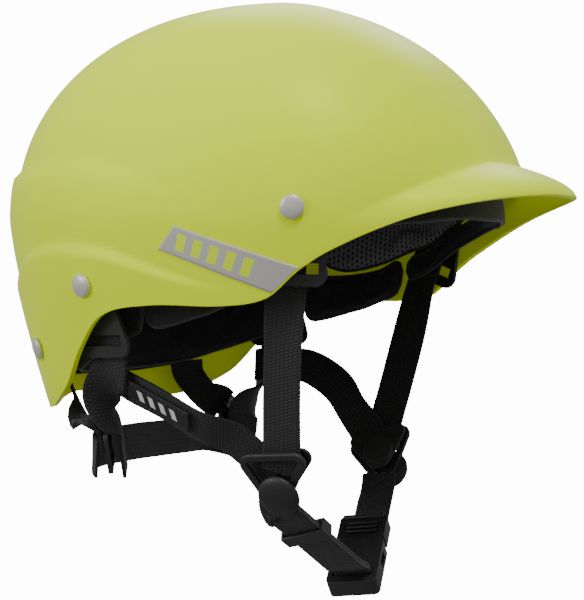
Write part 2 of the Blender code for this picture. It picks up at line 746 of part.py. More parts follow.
def build_strap_label(run, pivot):
    """Stitched patch on the outside of the right label strap."""
    start, end = run[1], run[3]
    middle = run[2]
    ahead = (end[0] - start[0]).normalized()
    across = (middle[1] - ahead * middle[1].dot(ahead)).normalized()
    seat = Seat(middle[0] + (end[0] - start[0]) * 0.02, ahead, across, Vector((0.2, -1, 0)))
    low = WEB_THICKNESS / 2 + LABEL_LIFT
    patch = box_solid(seat, (-LABEL_LENGTH / 2, LABEL_LENGTH / 2), (-LABEL_WIDTH / 2, LABEL_WIDTH / 2),
                      (low, low + LABEL_THICKNESS))
    add_object("strap_label_right", patch, finish("label", LABEL_BLACK), pivot)


BUCKLE_FOOT = Vector((0.0412, -0.0080, -0.1735))
BUCKLE_AIM = Vector((0.0245, 0.0600, -0.1215))
CHIN_WEB_START = hung((0.0310, 0.0476, -0.1335), -1)
CHIN_WEB_END = Vector((0.0405, -0.0170, -0.1608))
KEEPER_SHARE = 0.34
FOLD_LIFT = -0.0018


def prong_centre():
    """Distance of each prong's middle from the buckle's own middle."""
    return BUCKLE_WIDTH / 2 - SOCKET_WALL - PRONG_WIDTH / 2 - PRONG_GAP


def prong_root():
    """Where a prong springs, just short of the clip's shoulder."""
    return SOCKET_LENGTH + CLIP_GAP - PRONG_ROOT_GAP


def buckle_seat():
    """Down runs along the buckle from its end bar to its clip; outward is its upper face."""
    return Seat(BUCKLE_FOOT, Vector((1, 0, 0)), BUCKLE_AIM - BUCKLE_FOOT, Vector((0, -0.6, 0.8)))


def build_chin_webs(pivot, clip_pivot):
    """Right web from yoke to end bar; left web under the clip, whose own fold threads its tail."""
    web = finish("webbing", WEB_BLACK)
    buckle = buckle_seat()
    right, left = yoke_seat("right"), yoke_seat("left")
    entry = {name: LABEL_STRAP_ENTRY[name][-1][1] + WEB_WIDTH / 2 for name in SIDES}
    run = [(right.at(0.001, entry["right"], WEB_LAYER - 0.0004), right.across),
           (right.at(0.001, entry["right"] + 0.0075, WEB_LAYER - 0.0004), right.across)]
    across = Vector((0.97, 0.0, 0.24))
    for share in (0.0, 0.25, 0.5, 0.75, 1.0):
        run.append((CHIN_WEB_START.lerp(CHIN_WEB_END, share), across))
    centre = SOCKET_BAR + SOCKET_SLOT / 2
    run += [(buckle.at(0, centre, 0.0065), buckle.across), (buckle.at(0, centre, 0.0), buckle.across),
            (buckle.at(0, centre, -0.0062), buckle.across)]
    add_object("chin_web_right", webbing(run, DOUBLE_WEB_THICKNESS), web, pivot)
    under = -(CLIP_THICKNESS / 2 + WEB_CLEARANCE + WEB_THICKNESS / 2)
    run = [(buckle.at(0, at, under), buckle.across) for at in (0.0500, 0.0575, 0.0650)]
    run += [(left.at(0.001, entry["left"] + 0.0115, WEB_LAYER - 0.0010), left.across),
            (left.at(0.001, entry["left"] + 0.0025, WEB_LAYER - 0.0004), left.across)]
    add_object("chin_web_left", webbing(run), web, pivot)
    run = [(buckle.at(0, at, FOLD_LIFT), buckle.across) for at in (0.0335, 0.0430, 0.0520)]
    add_object("chin_web_fold", webbing(run), web, clip_pivot)


def build_socket(pivot):
    """Buckle body: end bar and slot for the webbing, and a cavity open towards the clip."""
    black = finish("harness_plastic", PLASTIC_BLACK)
    seat = buckle_seat()
    half, thick = BUCKLE_WIDTH / 2, BUCKLE_THICKNESS / 2
    corners = [(side * (half - SOCKET_CORNER), end, SOCKET_CORNER) for side in (-1, 1)
               for end in (SOCKET_CORNER, SOCKET_LENGTH - SOCKET_CORNER)]
    body = add_object("buckle_socket", slab(seat, round_hull(corners, steps=16), -thick, thick), black, pivot)
    slot_half = WEB_WIDTH / 2 + WEB_CLEARANCE
    slot = box_solid(seat, (-slot_half, slot_half), (SOCKET_BAR, SOCKET_BAR + SOCKET_SLOT),
                     (-CUT_REACH, CUT_REACH))
    carve(body, add_object("socket_slot", slot, black, pivot))
    inner = half - SOCKET_WALL
    deep = thick - SOCKET_WALL
    cavity = box_solid(seat, (-inner, inner), (SOCKET_FLOOR, SOCKET_LENGTH + CUT_REACH), (-deep, deep))
    carve(body, add_object("socket_cavity", cavity, black, pivot))
    tall = deep - SOCKET_WINDOW_LIP
    window = box_solid(seat, (-half - CUT_REACH, half + CUT_REACH), SOCKET_WINDOW, (-tall, tall))
    carve(body, add_object("socket_windows", window, black, pivot))


def build_clip(clip_pivot, prong_pivots):
    """Male half: a tail that the webbing threads through, a middle tongue and two sprung prongs."""
    black = finish("harness_plastic", PLASTIC_BLACK)
    seat = buckle_seat()
    half, thick = BUCKLE_WIDTH / 2 - CLIP_INSET, CLIP_THICKNESS / 2
    start = SOCKET_LENGTH + CLIP_GAP
    end = start + CLIP_LENGTH
    tongue, tip, cut = TONGUE_WIDTH / 2, SOCKET_FLOOR + TONGUE_TIP_GAP, CLIP_CORNER
    right = [(tongue - cut, tip), (tongue, tip + cut), (tongue, start), (half, start),
             (half, end - cut), (half - cut, end)]
    outline = right + [(-a, d) for a, d in reversed(right)]
    slim = TONGUE_THICKNESS / 2
    levels = [(slim if d <= start and abs(a) <= tongue else thick) for a, d in outline]
    rings = [[seat.at(a, d, sign * level) for (a, d), level in zip(outline, levels)] for sign in (-1, 1)]
    clip = add_object("buckle_clip", loft(rings), black, clip_pivot)
    slot_half = WEB_WIDTH / 2 + WEB_CLEARANCE
    tunnel_half = WEB_THICKNESS / 2 + WEB_CLEARANCE
    tunnel = box_solid(seat, (-slot_half, slot_half), (start + TUNNEL_WALL, end + CUT_REACH),
                       (FOLD_LIFT - tunnel_half, FOLD_LIFT + tunnel_half))
    carve(clip, add_object("clip_tunnel", tunnel, black, clip_pivot))
    centre, root = prong_centre(), prong_root()
    for name, side in SIDES.items():
        tip = root - PRONG_LENGTH
        inner, outer = side * (centre - PRONG_WIDTH / 2), side * (centre + PRONG_WIDTH / 2)
        shoulder = outer - side * 0.0010
        points = [(inner, root), (shoulder, root), (shoulder, tip + 0.0080), (outer, tip + 0.0065),
                  (outer, tip + 0.0025), (shoulder, tip), (inner, tip)]
        prong = slab(seat, points, -PRONG_THICKNESS / 2, PRONG_THICKNESS / 2)
        add_object("buckle_prong_" + name, prong, black, prong_pivots[name])


def keeper_seat():
    direction = CHIN_WEB_END - CHIN_WEB_START
    return Seat(CHIN_WEB_START.lerp(CHIN_WEB_END, KEEPER_SHARE), Vector((0.97, 0.0, 0.24)), direction,
                Vector((0, -0.6, -0.8)))


def build_keeper(pivot):
    """Sliding loop that gathers the doubled chin webbing."""
    seat = keeper_seat()
    wide, tall = WEB_WIDTH / 2 + WEB_CLEARANCE, DOUBLE_WEB_THICKNESS / 2 + WEB_CLEARANCE
    rings = []
    for half, rise, end in ((wide, tall, -1), (wide + KEEPER_WALL, tall + KEEPER_WALL, -1),
                            (wide + KEEPER_WALL, tall + KEEPER_WALL, 1), (wide, tall, 1)):
        rings.append([seat.at(a * half, end * KEEPER_LENGTH / 2, b * rise)
                      for a, b in ((-1, -1), (1, -1), (1, 1), (-1, 1))])
    add_object("strap_keeper", loft(rings, closed=True), finish("harness_plastic", PLASTIC_BLACK), pivot)


# ---------------------------------------------------------------- nape

LOCK_PLACES = {-1: (-0.0560, 0.0371, -0.1065), 1: (-0.0615, 0.0396, -0.1080)}
DROP_STRAPS = {
    "right": [((-0.0533, 0.0251, -0.0800), (0.80, 0.60, 0)), ((-0.0523, 0.0296, -0.0900), (0.20, 0.95, 0))],
    "left": [((-0.0515, 0.0256, -0.0800), (0.80, -0.60, 0)), ((-0.0540, 0.0311, -0.0900), (0.20, -0.95, 0))],
}


def lock_seat(side):
    """The ladder lock faces forward and inward, with its width along the drop strap's tail."""
    return Seat(hung(LOCK_PLACES[side], side), Vector((-0.437, -side * 0.90, 0)),
                Vector((0.02, -side * 0.27, -0.96)), Vector((0.9, -side * 0.437, 0)))


def build_nape_side(name, side, hanger, pivot):
    web = finish("webbing", WEB_BLACK)
    lock = lock_seat(side)
    rise = LOCK_OFFSET + WEB_THICKNESS / 2
    drop = hanger_web_start(hanger, HANGER_SLIP["rear_upper"]) + stations(DROP_STRAPS[name], side)
    drop += [(lock.at(0, at, rise), lock.across) for at in (-0.0098, -0.0020, 0.0055, 0.0130)]
    add_object("drop_strap_" + name, webbing(drop), web, pivot)
    wide, tall = LOCK_HALF_WIDTH, LOCK_HALF_HEIGHT
    corners = [(a * (wide - LOCK_CORNER), d * (tall - LOCK_CORNER), LOCK_CORNER)
               for a in (-1, 1) for d in (-1, 1)]
    half = LOCK_THICKNESS / 2
    plate = add_object("ladder_lock_" + name, slab(lock, round_hull(corners, steps=16), -half, half),
                       finish("harness_plastic", PLASTIC_BLACK), pivot)
    window_half = WEB_WIDTH / 2 + LOCK_WINDOW_SPARE
    for label, way in (("upper", -1), ("lower", 1)):
        limits = sorted((way * LOCK_BAR / 2, way * (tall - LOCK_BAR)))
        window = box_solid(lock, (-window_half, window_half), limits, (-CUT_REACH, CUT_REACH))
        carve(plate, add_object("lock_" + label + "_" + name, window, web, pivot))
    behind = -(half + WEB_CLEARANCE + WEB_THICKNESS / 2)
    nape = stations([((-0.0865, 0.0496, -0.0720), (0.60, side * 0.80, 0)),
                     ((-0.0845, 0.0496, -0.0800), (0.55, side * 0.83, 0)),
                     ((-0.0750, 0.0451, -0.0915), (0.50, side * 0.87, 0))], side)
    nape += [(lock.at(0, at, behind - away), -lock.across)
             for at, away in ((-0.0140, 0.0042), (-0.0096, 0.0004), (0.0005, 0.0))]
    add_object("nape_strap_" + name, webbing(nape), web, pivot)


NAPE_BAND_MIDDLE = [(-0.0680, -0.0300, -0.1078), (-0.0705, 0.0000, -0.1085), (-0.0705, 0.0300, -0.1090)]


def band_end(side):
    """Stations behind one ladder lock, from its middle inwards."""
    lock, down = lock_seat(side), Vector((0, 0, -1))
    layer = -(LOCK_THICKNESS / 2 + 2 * WEB_CLEARANCE + 1.5 * WEB_THICKNESS + LOCK_BAND_GAP)
    return [(lock.at(-0.0035, 0.0045, layer), down), (lock.at(0.0125, 0.0045, layer - 0.0015), down)]


def build_nape_band(pivot):
    """Cross band behind the neck, between the two ladder locks."""
    middle = [(Vector(place), Vector((0, 0, -1))) for place in NAPE_BAND_MIDDLE]
    run = band_end(-1) + middle + band_end(1)[::-1]
    add_object("nape_band", webbing(run), finish("webbing", WEB_BLACK), pivot)


def build_cradle(pivot, seats):
    """Nape cradle: a band inside the shell's rear that the two lower rivets hold."""
    start = CRADLE_START
    rings = []
    sectors, rows = 20, 2
    for i in range(sectors + 1):
        angle = math.radians(start + (360 - 2 * start) * i / sectors)
        edge = abs(2 * i / sectors - 1)
        fade = 1 - 0.35 * smooth_step((edge - 0.75) / 0.25)
        middle, reach = (CRADLE_TOP + CRADLE_BOTTOM) / 2, (CRADLE_TOP - CRADLE_BOTTOM) / 2 * fade
        middle += (REAR_LOWER_RIVET[1] - middle) * smooth_step((edge - 0.4) / 0.5)
        levels = [middle + reach * (2 * k / rows - 1) for k in range(rows + 1)]
        outer = HANGER_DEPTH - UPPER_LEDGE - LOWER_LEDGE
        ring = [inset_point(angle, level, outer) for level in levels]
        ring += [inset_point(angle, level, outer + HANGER_THICKNESS) for level in reversed(levels)]
        rings.append(ring)
    black = finish("harness_plastic", PLASTIC_BLACK)
    cradle = add_object("nape_cradle", loft(rings), black, pivot)
    eye = RIVET_SHANK_RADIUS + HANGER_EYE_CLEARANCE
    for name, seat in seats.items():
        hole = turned(seat, [(eye, level) for level in RIVET_HOLE_REACH])
        carve(cradle, add_object("cradle_eye_" + name, hole, black, pivot))


def main():
    clear_scene()
    root = add_pivot("helmet_frame", Vector((0, 0, -SEAT_HEIGHT)), None)
    spots = {"front": FRONT_RIVET, "rear_upper": REAR_UPPER_RIVET, "rear_lower": REAR_LOWER_RIVET}
    seats = {spot + "_" + name: shell_seat(place, side)
             for spot, place in spots.items() for name, side in SIDES.items()}
    fixed = add_pivot("fixed_frame", Vector((0, 0, 0)), root)
    build_shell(fixed, seats)
    build_liner(fixed)
    build_crown_pad(fixed)
    build_pads(fixed)
    build_rivets(fixed, seats)

    axes = {spot: Vector((seats[spot + "_left"].origin.x, 0, seats[spot + "_left"].origin.z))
            for spot in ("front", "rear_upper")}
    harness = add_pivot("harness_axis", axes["front"], root)
    for name, side in SIDES.items():
        hanger = seats["front_" + name].leaned(HANGER_LEAN["front_" + name])
        build_hanger("front_hanger_" + name, hanger, harness)
        rear = build_chin_straps(name, side, hanger, harness)
        build_yoke(name, harness)
        if name == "right":
            build_strap_label(rear, harness)
    build_socket(harness)
    buckle = buckle_seat()
    clip = add_pivot("clip_axis", buckle.at(0, SOCKET_LENGTH, 0), root)
    build_chin_webs(harness, clip)
    prongs = {name: add_pivot("prong_axis_" + name, buckle.at(side * prong_centre(), prong_root(), 0), root)
              for name, side in SIDES.items()}
    build_clip(clip, prongs)
    build_keeper(add_pivot("keeper_axis", keeper_seat().origin, root))

    nape = add_pivot("nape_axis", axes["rear_upper"], root)
    for name, side in SIDES.items():
        hanger = seats["rear_upper_" + name].leaned(HANGER_LEAN["rear_upper_" + name])
        build_hanger("rear_hanger_" + name, hanger, nape)
        build_nape_side(name, side, hanger, nape)
    build_nape_band(nape)
    build_cradle(fixed, {name: seats["rear_lower_" + name] for name in SIDES})


main()
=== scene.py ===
"""Looks of an open-face water helmet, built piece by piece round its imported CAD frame."""

import json
import math

import bmesh
import bpy
from mathutils import Matrix, Vector


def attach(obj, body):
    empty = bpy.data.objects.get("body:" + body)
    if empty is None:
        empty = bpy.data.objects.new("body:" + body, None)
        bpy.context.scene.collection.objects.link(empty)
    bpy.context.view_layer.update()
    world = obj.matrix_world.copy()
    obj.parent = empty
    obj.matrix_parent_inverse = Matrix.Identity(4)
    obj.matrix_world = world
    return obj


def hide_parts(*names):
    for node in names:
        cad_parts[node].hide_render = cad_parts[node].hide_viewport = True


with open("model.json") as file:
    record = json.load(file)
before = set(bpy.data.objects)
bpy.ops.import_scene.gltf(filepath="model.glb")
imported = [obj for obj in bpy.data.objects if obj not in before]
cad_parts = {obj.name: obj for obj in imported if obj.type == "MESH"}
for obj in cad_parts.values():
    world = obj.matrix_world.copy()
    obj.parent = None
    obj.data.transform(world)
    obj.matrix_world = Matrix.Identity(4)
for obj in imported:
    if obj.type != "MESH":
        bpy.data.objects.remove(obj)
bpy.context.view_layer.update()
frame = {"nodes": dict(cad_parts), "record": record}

# ------------------------------------------------------------------ hard shell
# One skin of impact-grade ABS, injection moulded, with a soft gloss from the mould. Its rim is cut and
# eased; the liner, pads and rivets all hang from it.
SEAT_DROP = 0.0809
CROWN = 0.1055
FRONT_REACH, REAR_REACH, HALF_WIDTH = 0.1167, 0.1336, 0.1086
FRONT_SQUARE, REAR_SQUARE = 2.2, 2.28
FRONT_FULL, REAR_FULL, SIDE_FULL = 1.82, 2.165, 2.2
REAR_TAPER, SIDE_TAPER, TAPER_POWER = 0.203, 0.181, 1.3
SHELL_WALL = 0.0028
BRIM_REACH, BRIM_SPREAD, BRIM_POWER = 0.026, 29.4, 2.5
BRIM_RISE, BRIM_TIP_RISE = 0.011, 0.004
UPPER_LEDGE, LOWER_LEDGE, LEDGE_RUN = 0.0030, 0.0022, 0.0034
RIM = [(0, 0.0136), (12, 0.0130), (25, 0.0092), (40, 0.0004), (55, -0.0133), (62, -0.0225),
       (69, -0.0345), (80, -0.0385), (100, -0.0392), (113, -0.0445), (122, -0.060), (131, -0.078),
       (145, -0.0897), (162, -0.0905), (180, -0.0865)]
UPPER_RIDGE = [(90, 0.010), (100, 0.017), (110, 0.0225), (122, 0.025), (140, 0.0227), (180, 0.020)]
LOWER_RIDGE = [(76, -0.030), (92, -0.025), (100, -0.0205), (109, -0.0153), (122, -0.0123),
               (130, -0.0135), (140, -0.019), (154, -0.032), (180, -0.037)]
RECESS_RADIUS, RECESS_DEPTH, RECESS_EDGE = 0.0142, 0.0013, 0.0012
SHELL_YELLOW = "DCF400"


def smooth_step(value):
    value = min(max(value, 0.0), 1.0)
    return value * value * (3 - 2 * value)


def along(outline, degrees):
    """Read a height outline at an angle off the front."""
    degrees = min(max(degrees, outline[0][0]), outline[-1][0])
    for i in range(len(outline) - 1):
        if degrees <= outline[i + 1][0]:
            break
    (start, low), (end, high) = outline[i], outline[i + 1]
    span = end - start
    share = (degrees - start) / span
    slopes = []
    for k in (i, i + 1):
        if 0 < k < len(outline) - 1:
            run = outline[k + 1][0] - outline[k - 1][0]
            slopes.append((outline[k + 1][1] - outline[k - 1][1]) / run * span)
        else:
            slopes.append(0.0)
    square, cube = share ** 2, share ** 3
    return ((2 * cube - 3 * square + 1) * low + (cube - 2 * square + share) * slopes[0]
            + (3 * square - 2 * cube) * high + (cube - square) * slopes[1])


def off_front(angle):
    return abs(math.degrees(math.atan2(math.sin(angle), math.cos(angle))))


def fullness(angle):
    front = FRONT_FULL if math.cos(angle) > 0 else REAR_FULL
    return front * math.cos(angle) ** 2 + SIDE_FULL * math.sin(angle) ** 2


def form_radius(angle, height):
    """Distance from the middle to the plain form at a height above its widest level."""
    ahead, aside = abs(math.cos(angle)), abs(math.sin(angle))
    front = math.cos(angle) > 0
    reach, square = (FRONT_REACH, FRONT_SQUARE) if front else (REAR_REACH, REAR_SQUARE)
    radius = ((ahead / reach) ** square + (aside / HALF_WIDTH) ** square) ** (-1 / square)
    if height > 0:
        full = fullness(angle)
        return radius * max(1 - min(height / CROWN, 1.0) ** full, 0.0) ** (1 / full)
    taper = SIDE_TAPER * aside ** 2 + (SIDE_TAPER if front else REAR_TAPER) * ahead ** 2
    return radius * (1 - taper * (-height / 0.1) ** TAPER_POWER)


def polar(angle, radius, height):
    return Vector((radius * math.cos(angle), radius * math.sin(angle), height - SEAT_DROP))


def shell_radius(angle, height):
    """The plain form with its brim and its two swept ledges."""
    turn = off_front(angle)
    flare = BRIM_REACH * math.exp(-((turn / BRIM_SPREAD) ** BRIM_POWER))
    up = (height - along(RIM, turn)) / (BRIM_RISE + BRIM_TIP_RISE * flare / BRIM_REACH)
    radius = form_radius(angle, height)
    if up < 1:
        radius += flare * (1 - max(up, 0.0) ** 2)
    upper = smooth_step((turn - 90) / 26) * smooth_step((along(UPPER_RIDGE, turn) - height) / LEDGE_RUN)
    lower = smooth_step((turn - 76) / 30) * smooth_step((along(LOWER_RIDGE, turn) - height) / LEDGE_RUN)
    return radius + UPPER_LEDGE * upper + LOWER_LEDGE * lower


def shell_point(angle, height):
    return polar(angle, shell_radius(angle, height), height)


def linear(colour):
    """An sRGB hex colour as linear light."""
    parts = [int(colour[i:i + 2], 16) / 255 for i in (0, 2, 4)]
    return (*(c / 12.92 if c <= 0.04045 else ((c + 0.055) / 1.055) ** 2.4 for c in parts), 1.0)


def add_node(tree, kind, inputs=(), **settings):
    """One shader node; an input is given a value, or linked to a socket."""
    made = tree.nodes.new(kind)
    for name, value in settings.items():
        setattr(made, name, value)
    for place, value in dict(inputs).items():
        if isinstance(value, bpy.types.NodeSocket):
            tree.links.new(value, made.inputs[place])
        else:
            made.inputs[place].default_value = value
    return made


def new_material(name, colour, roughness, **sockets):
    """A Principled material with constant sockets; returns it, its tree and its shader."""
    material = bpy.data.materials.new(name)
    material.use_nodes = True
    shader = material.node_tree.nodes["Principled BSDF"]
    shader.inputs["Base Color"].default_value = linear(colour)
    shader.inputs["Roughness"].default_value = roughness
    for socket, value in sockets.items():
        shader.inputs[socket.replace("_", " ")].default_value = value
    return material, material.node_tree, shader


def add_bump(tree, shader, height, strength, depth, **settings):
    bump = add_node(tree, "ShaderNodeBump", {"Height": height, "Strength": strength, "Distance": depth},
                    **settings)
    tree.links.new(bump.outputs["Normal"], shader.inputs["Normal"])


def add_tones(tree, shader, share, first, second):
    """Base colour that runs from the first colour to the second with a share."""
    tone = add_node(tree, "ShaderNodeMix", {"Factor": share, "A": linear(first), "B": linear(second)},
                    data_type="RGBA")
    tree.links.new(tone.outputs["Result"], shader.inputs["Base Color"])


def add_grain(tree, shader, scale, detail, relief=None, tones=None):
    """Noise fixed to the piece: relief is its (strength, depth), tones its dark and light colours."""
    place = add_node(tree, "ShaderNodeTexCoord")
    grain = add_node(tree, "ShaderNodeTexNoise",
                     {"Vector": place.outputs["Object"], "Scale": scale, "Detail": detail})
    if relief:
        add_bump(tree, shader, grain.outputs["Fac"], *relief)
    if tones:
        add_tones(tree, shader, grain.outputs["Fac"], *tones)


def add_piece(name, builder, material, body, stands_for=(), sharp=40.0):
    """Turn a bmesh into a smooth-shaded piece that rides on a body of the frame."""
    mesh = bpy.data.meshes.new(name)
    builder.to_mesh(mesh)
    builder.free()
    mesh.shade_smooth()
    mesh.set_sharp_from_angle(angle=math.radians(sharp))
    mesh.materials.append(material)
    piece = bpy.data.objects.new(name, mesh)
    bpy.context.collection.objects.link(piece)
    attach(piece, body)
    if stands_for:
        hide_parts(*stands_for)
    return piece


# Moulded ABS takes the mould's polish: an even, fluorescent yellow-green with a soft gloss and a faint
# waviness of about 6 mm, drawn a little deeper than life so that it shows. Fluorescent dye tints its
# sheen yellow. A faint emission of the same yellow is a painted glow that lifts the shell's shade and keeps
# its colour strong.
shell_abs, tree, shader = new_material("moulded ABS, fluorescent yellow", SHELL_YELLOW, 0.36, IOR=1.46)
shader.inputs["Specular Tint"].default_value = linear("F2FF50")
# painted glow: the shell gives out a little yellow light of its own to lift its shaded side
shader.inputs["Emission Color"].default_value = linear("DDF000")
shader.inputs["Emission Strength"].default_value = 0.10
shader.inputs["Specular IOR Level"].default_value = 0.22
add_grain(tree, shader, 160.0, 2.0, relief=(0.25, 0.00006))

SHELL_SECTORS, SHELL_ROWS = 256, 110
BRIM_SHARE, BRIM_CLIMB = 0.17, 0.11
TOP_SHARE, TOP_CLIMB = 0.78, 0.90


def climb(share):
    """Rows crowd together in the brim and round the crown recess."""
    if share < BRIM_SHARE:
        return BRIM_CLIMB * share / BRIM_SHARE
    if share < TOP_SHARE:
        return BRIM_CLIMB + (TOP_CLIMB - BRIM_CLIMB) * (share - BRIM_SHARE) / (TOP_SHARE - BRIM_SHARE)
    return TOP_CLIMB + (1 - TOP_CLIMB) * (share - TOP_SHARE) / (1 - TOP_SHARE)


def shell_height(angle, share):
    """Height above the widest level, evenly spaced along the shell's side from rim to crown."""
    full = fullness(angle)
    rim = along(RIM, off_front(angle))
    if rim > 0:
        start = 1 - math.asin((1 - (rim / CROWN) ** full) ** (1 / full)) / (math.pi / 2)
    else:
        start = rim / CROWN
    level = start + (1 - start) * climb(share)
    if level <= 0:
        return level * CROWN
    return CROWN * max(1 - math.sin((1 - level) * math.pi / 2) ** full, 0.0) ** (1 / full)


builder = bmesh.new()
bmesh.ops.create_grid(builder, x_segments=SHELL_SECTORS, y_segments=SHELL_ROWS, size=1.0)
for vert in builder.verts:
    angle, share = math.pi * (vert.co.x + 1), (vert.co.y + 1) / 2
    height = shell_height(angle, share)
    spot = shell_point(angle, height)
    reach = spot.xy.length
    spot.z -= RECESS_DEPTH * smooth_step((RECESS_RADIUS - reach) / RECESS_EDGE)
    vert.co = spot
bmesh.ops.remove_doubles(builder, verts=builder.verts, dist=0.000002)
bmesh.ops.recalc_face_normals(builder, faces=builder.faces)
shell_skin = add_piece("shell_skin", builder, shell_abs, "helmet", ["shell"])
wall = shell_skin.modifiers.new("wall", "SOLIDIFY")
wall.thickness, wall.offset, wall.use_even_offset = SHELL_WALL, -1.0, True
lip = shell_skin.modifiers.new("eased rim", "BEVEL")
lip.width, lip.segments, lip.limit_method, lip.angle_limit = 0.0010, 3, "ANGLE", math.radians(55)

# ------------------------------------------------------------------ side stripes
# A printed reflective transfer on each side, cut off by the rim. Slanted bars of the shell's own colour
# show through it as a plain generic pattern.
STRIPE_TOP = ((91.8, -0.0037), (60.9, -0.0215))
STRIPE_FOOT = ((96.2, -0.0143), (66.9, -0.0330))
STRIPE_LONG, STRIPE_TALL = 66.0, 11.4
STRIPE_LIFT, STRIPE_FILM, STRIPE_RIM_GAP = 0.00025, 0.00015, 0.0013
STRIPE_GREY = "B5B4AF"


def lifted_point(angle, height, lift):
    """A point that stands lift outside the shell's face, square to it."""
    step, rise = 0.012, 0.0012
    beside = shell_point(angle + step, height) - shell_point(angle - step, height)
    above = shell_point(angle, height + rise) - shell_point(angle, height - rise)
    return shell_point(angle, height) + beside.cross(above).normalized() * lift


def worked(tree, operation, *terms):
    """The result of one math node."""
    return add_node(tree, "ShaderNodeMath", dict(enumerate(terms)), operation=operation).outputs[0]


def surface_axes(tree):
    """The piece's own run and rise over its surface, in mm."""
    marks = add_node(tree, "ShaderNodeUVMap")
    axes = add_node(tree, "ShaderNodeSeparateXYZ", {"Vector": marks.outputs["UV"]})
    return axes.outputs["X"], axes.outputs["Y"]


def slanted_bars(tree, shader, pitch, lean, bar, middle, reach, colours):
    """Slanted bars in mm: bar is the (middle, half) share of the pitch that each fills, and the bars
    show within reach of the middle, both as (along, up)."""
    run, rise = surface_axes(tree)
    leaned = worked(tree, "MULTIPLY_ADD", rise, lean, run)
    bars = worked(tree, "COMPARE", worked(tree, "FRACT", worked(tree, "DIVIDE", leaned, pitch)), *bar)
    above = worked(tree, "COMPARE", rise, middle[1], reach[1])
    ahead = worked(tree, "COMPARE", leaned, middle[0], reach[0])
    shown = worked(tree, "MULTIPLY", bars, worked(tree, "MULTIPLY", above, ahead))
    add_tones(tree, shader, shown, *colours)


# Reflective film: flat mid grey, satin, with the bars left clear.
stripe_print, tree, shader = new_material("printed reflective transfer", STRIPE_GREY, 0.42)
slanted_bars(tree, shader, pitch=9.0, lean=0.55, bar=(0.275, 0.275), middle=(29.5, 5.7), reach=(22.4, 3.4),
             colours=(STRIPE_GREY, SHELL_YELLOW))

for side_name, side in (("right", -1), ("left", 1)):
    builder = bmesh.new()
    bmesh.ops.create_grid(builder, x_segments=90, y_segments=14, size=1.0)
    marks = builder.loops.layers.uv.new("UVMap")
    for face in builder.faces:
        for loop in face.loops:
            loop[marks].uv = ((loop.vert.co.x + 1) / 2 * STRIPE_LONG, (loop.vert.co.y + 1) / 2 * STRIPE_TALL)
    for vert in builder.verts:
        run, rise = (vert.co.x + 1) / 2, (vert.co.y + 1) / 2
        top = [STRIPE_TOP[0][k] + (STRIPE_TOP[1][k] - STRIPE_TOP[0][k]) * run for k in (0, 1)]
        foot = [STRIPE_FOOT[0][k] + (STRIPE_FOOT[1][k] - STRIPE_FOOT[0][k]) * run for k in (0, 1)]
        turn, height = [foot[k] + (top[k] - foot[k]) * rise for k in (0, 1)]
        height = max(height, along(RIM, turn) + STRIPE_RIM_GAP)
        vert.co = lifted_point(math.radians(turn) * side, height, STRIPE_LIFT)
    bmesh.ops.recalc_face_normals(builder, faces=builder.faces)
    if builder.faces[:][0].normal.y * side < 0:
        bmesh.ops.reverse_faces(builder, faces=builder.faces)
    stripe = add_piece("side_stripe_" + side_name, builder, stripe_print, "helmet")
    film = stripe.modifiers.new("film", "SOLIDIFY")
    film.thickness, film.offset = STRIPE_FILM, -1.0

# ------------------------------------------------------------------ impact liner and nape cradle
# The liner is closed-cell foam, moulded with an open, pebbly skin and bonded under the dome. The nape
# cradle is a flexible acetal band that the two rear lower rivets hold behind the rear pad.
liner_foam, tree, shader = new_material("moulded closed-cell foam", "141415", 0.92)
place = add_node(tree, "ShaderNodeTexCoord")
cells = add_node(tree, "ShaderNodeTexVoronoi", {"Vector": place.outputs["Object"], "Scale": 420.0})
add_bump(tree, shader, cells.outputs["Distance"], 0.5, 0.0003)

# Acetal fittings come from a spark-eroded mould: charcoal black with an even, fine matt grain. The grain
# is about 0.3 mm in life and is drawn at 0.6 mm.
acetal, tree, shader = new_material("moulded acetal, matt black", "222223", 0.50, IOR=1.48)
add_grain(tree, shader, 1650.0, 3.0, relief=(0.35, 0.00012), tones=("1B1B1C", "2A2A2B"))

bodies = frame["record"]["behaviour"]["bodies"]
home = {node: body for body, nodes in bodies.items() for node in nodes}


def eased_node(node, ease, material, segments=2, sharp=32.0):
    """A CAD node's own shape with its moulded edges rounded over."""
    builder = bmesh.new()
    builder.from_mesh(frame["nodes"][node].data)
    bmesh.ops.remove_doubles(builder, verts=builder.verts, dist=0.000002)
    bmesh.ops.dissolve_limit(builder, angle_limit=math.radians(1.5), verts=builder.verts, edges=builder.edges)
    piece = add_piece(node + "_eased", builder, material, home[node], [node], sharp)
    if ease:
        rounding = piece.modifiers.new("eased edges", "BEVEL")
        rounding.width, rounding.segments, rounding.limit_method = ease, segments, "ANGLE"
        rounding.angle_limit = math.radians(sharp)
    return piece


eased_node("foam_liner", 0, liner_foam)
eased_node("nape_cradle", 0.0004, acetal)

# ------------------------------------------------------------------ rivets and washers
# Semi-tubular rivets with broad, low-domed heads, enamelled pale grey over steel; each is peened over a
# plain washer inside.
FRONT_RIVET, REAR_UPPER_RIVET, REAR_LOWER_RIVET = (63.6, 0.005), (117.0, -0.031), (141.5, -0.0614)
HEAD_RADIUS, HEAD_HEIGHT, HEAD_GAP = 0.0054, 0.0024, 0.0005
SHANK_RADIUS, SHANK_DEPTH = 0.0024, 0.0106


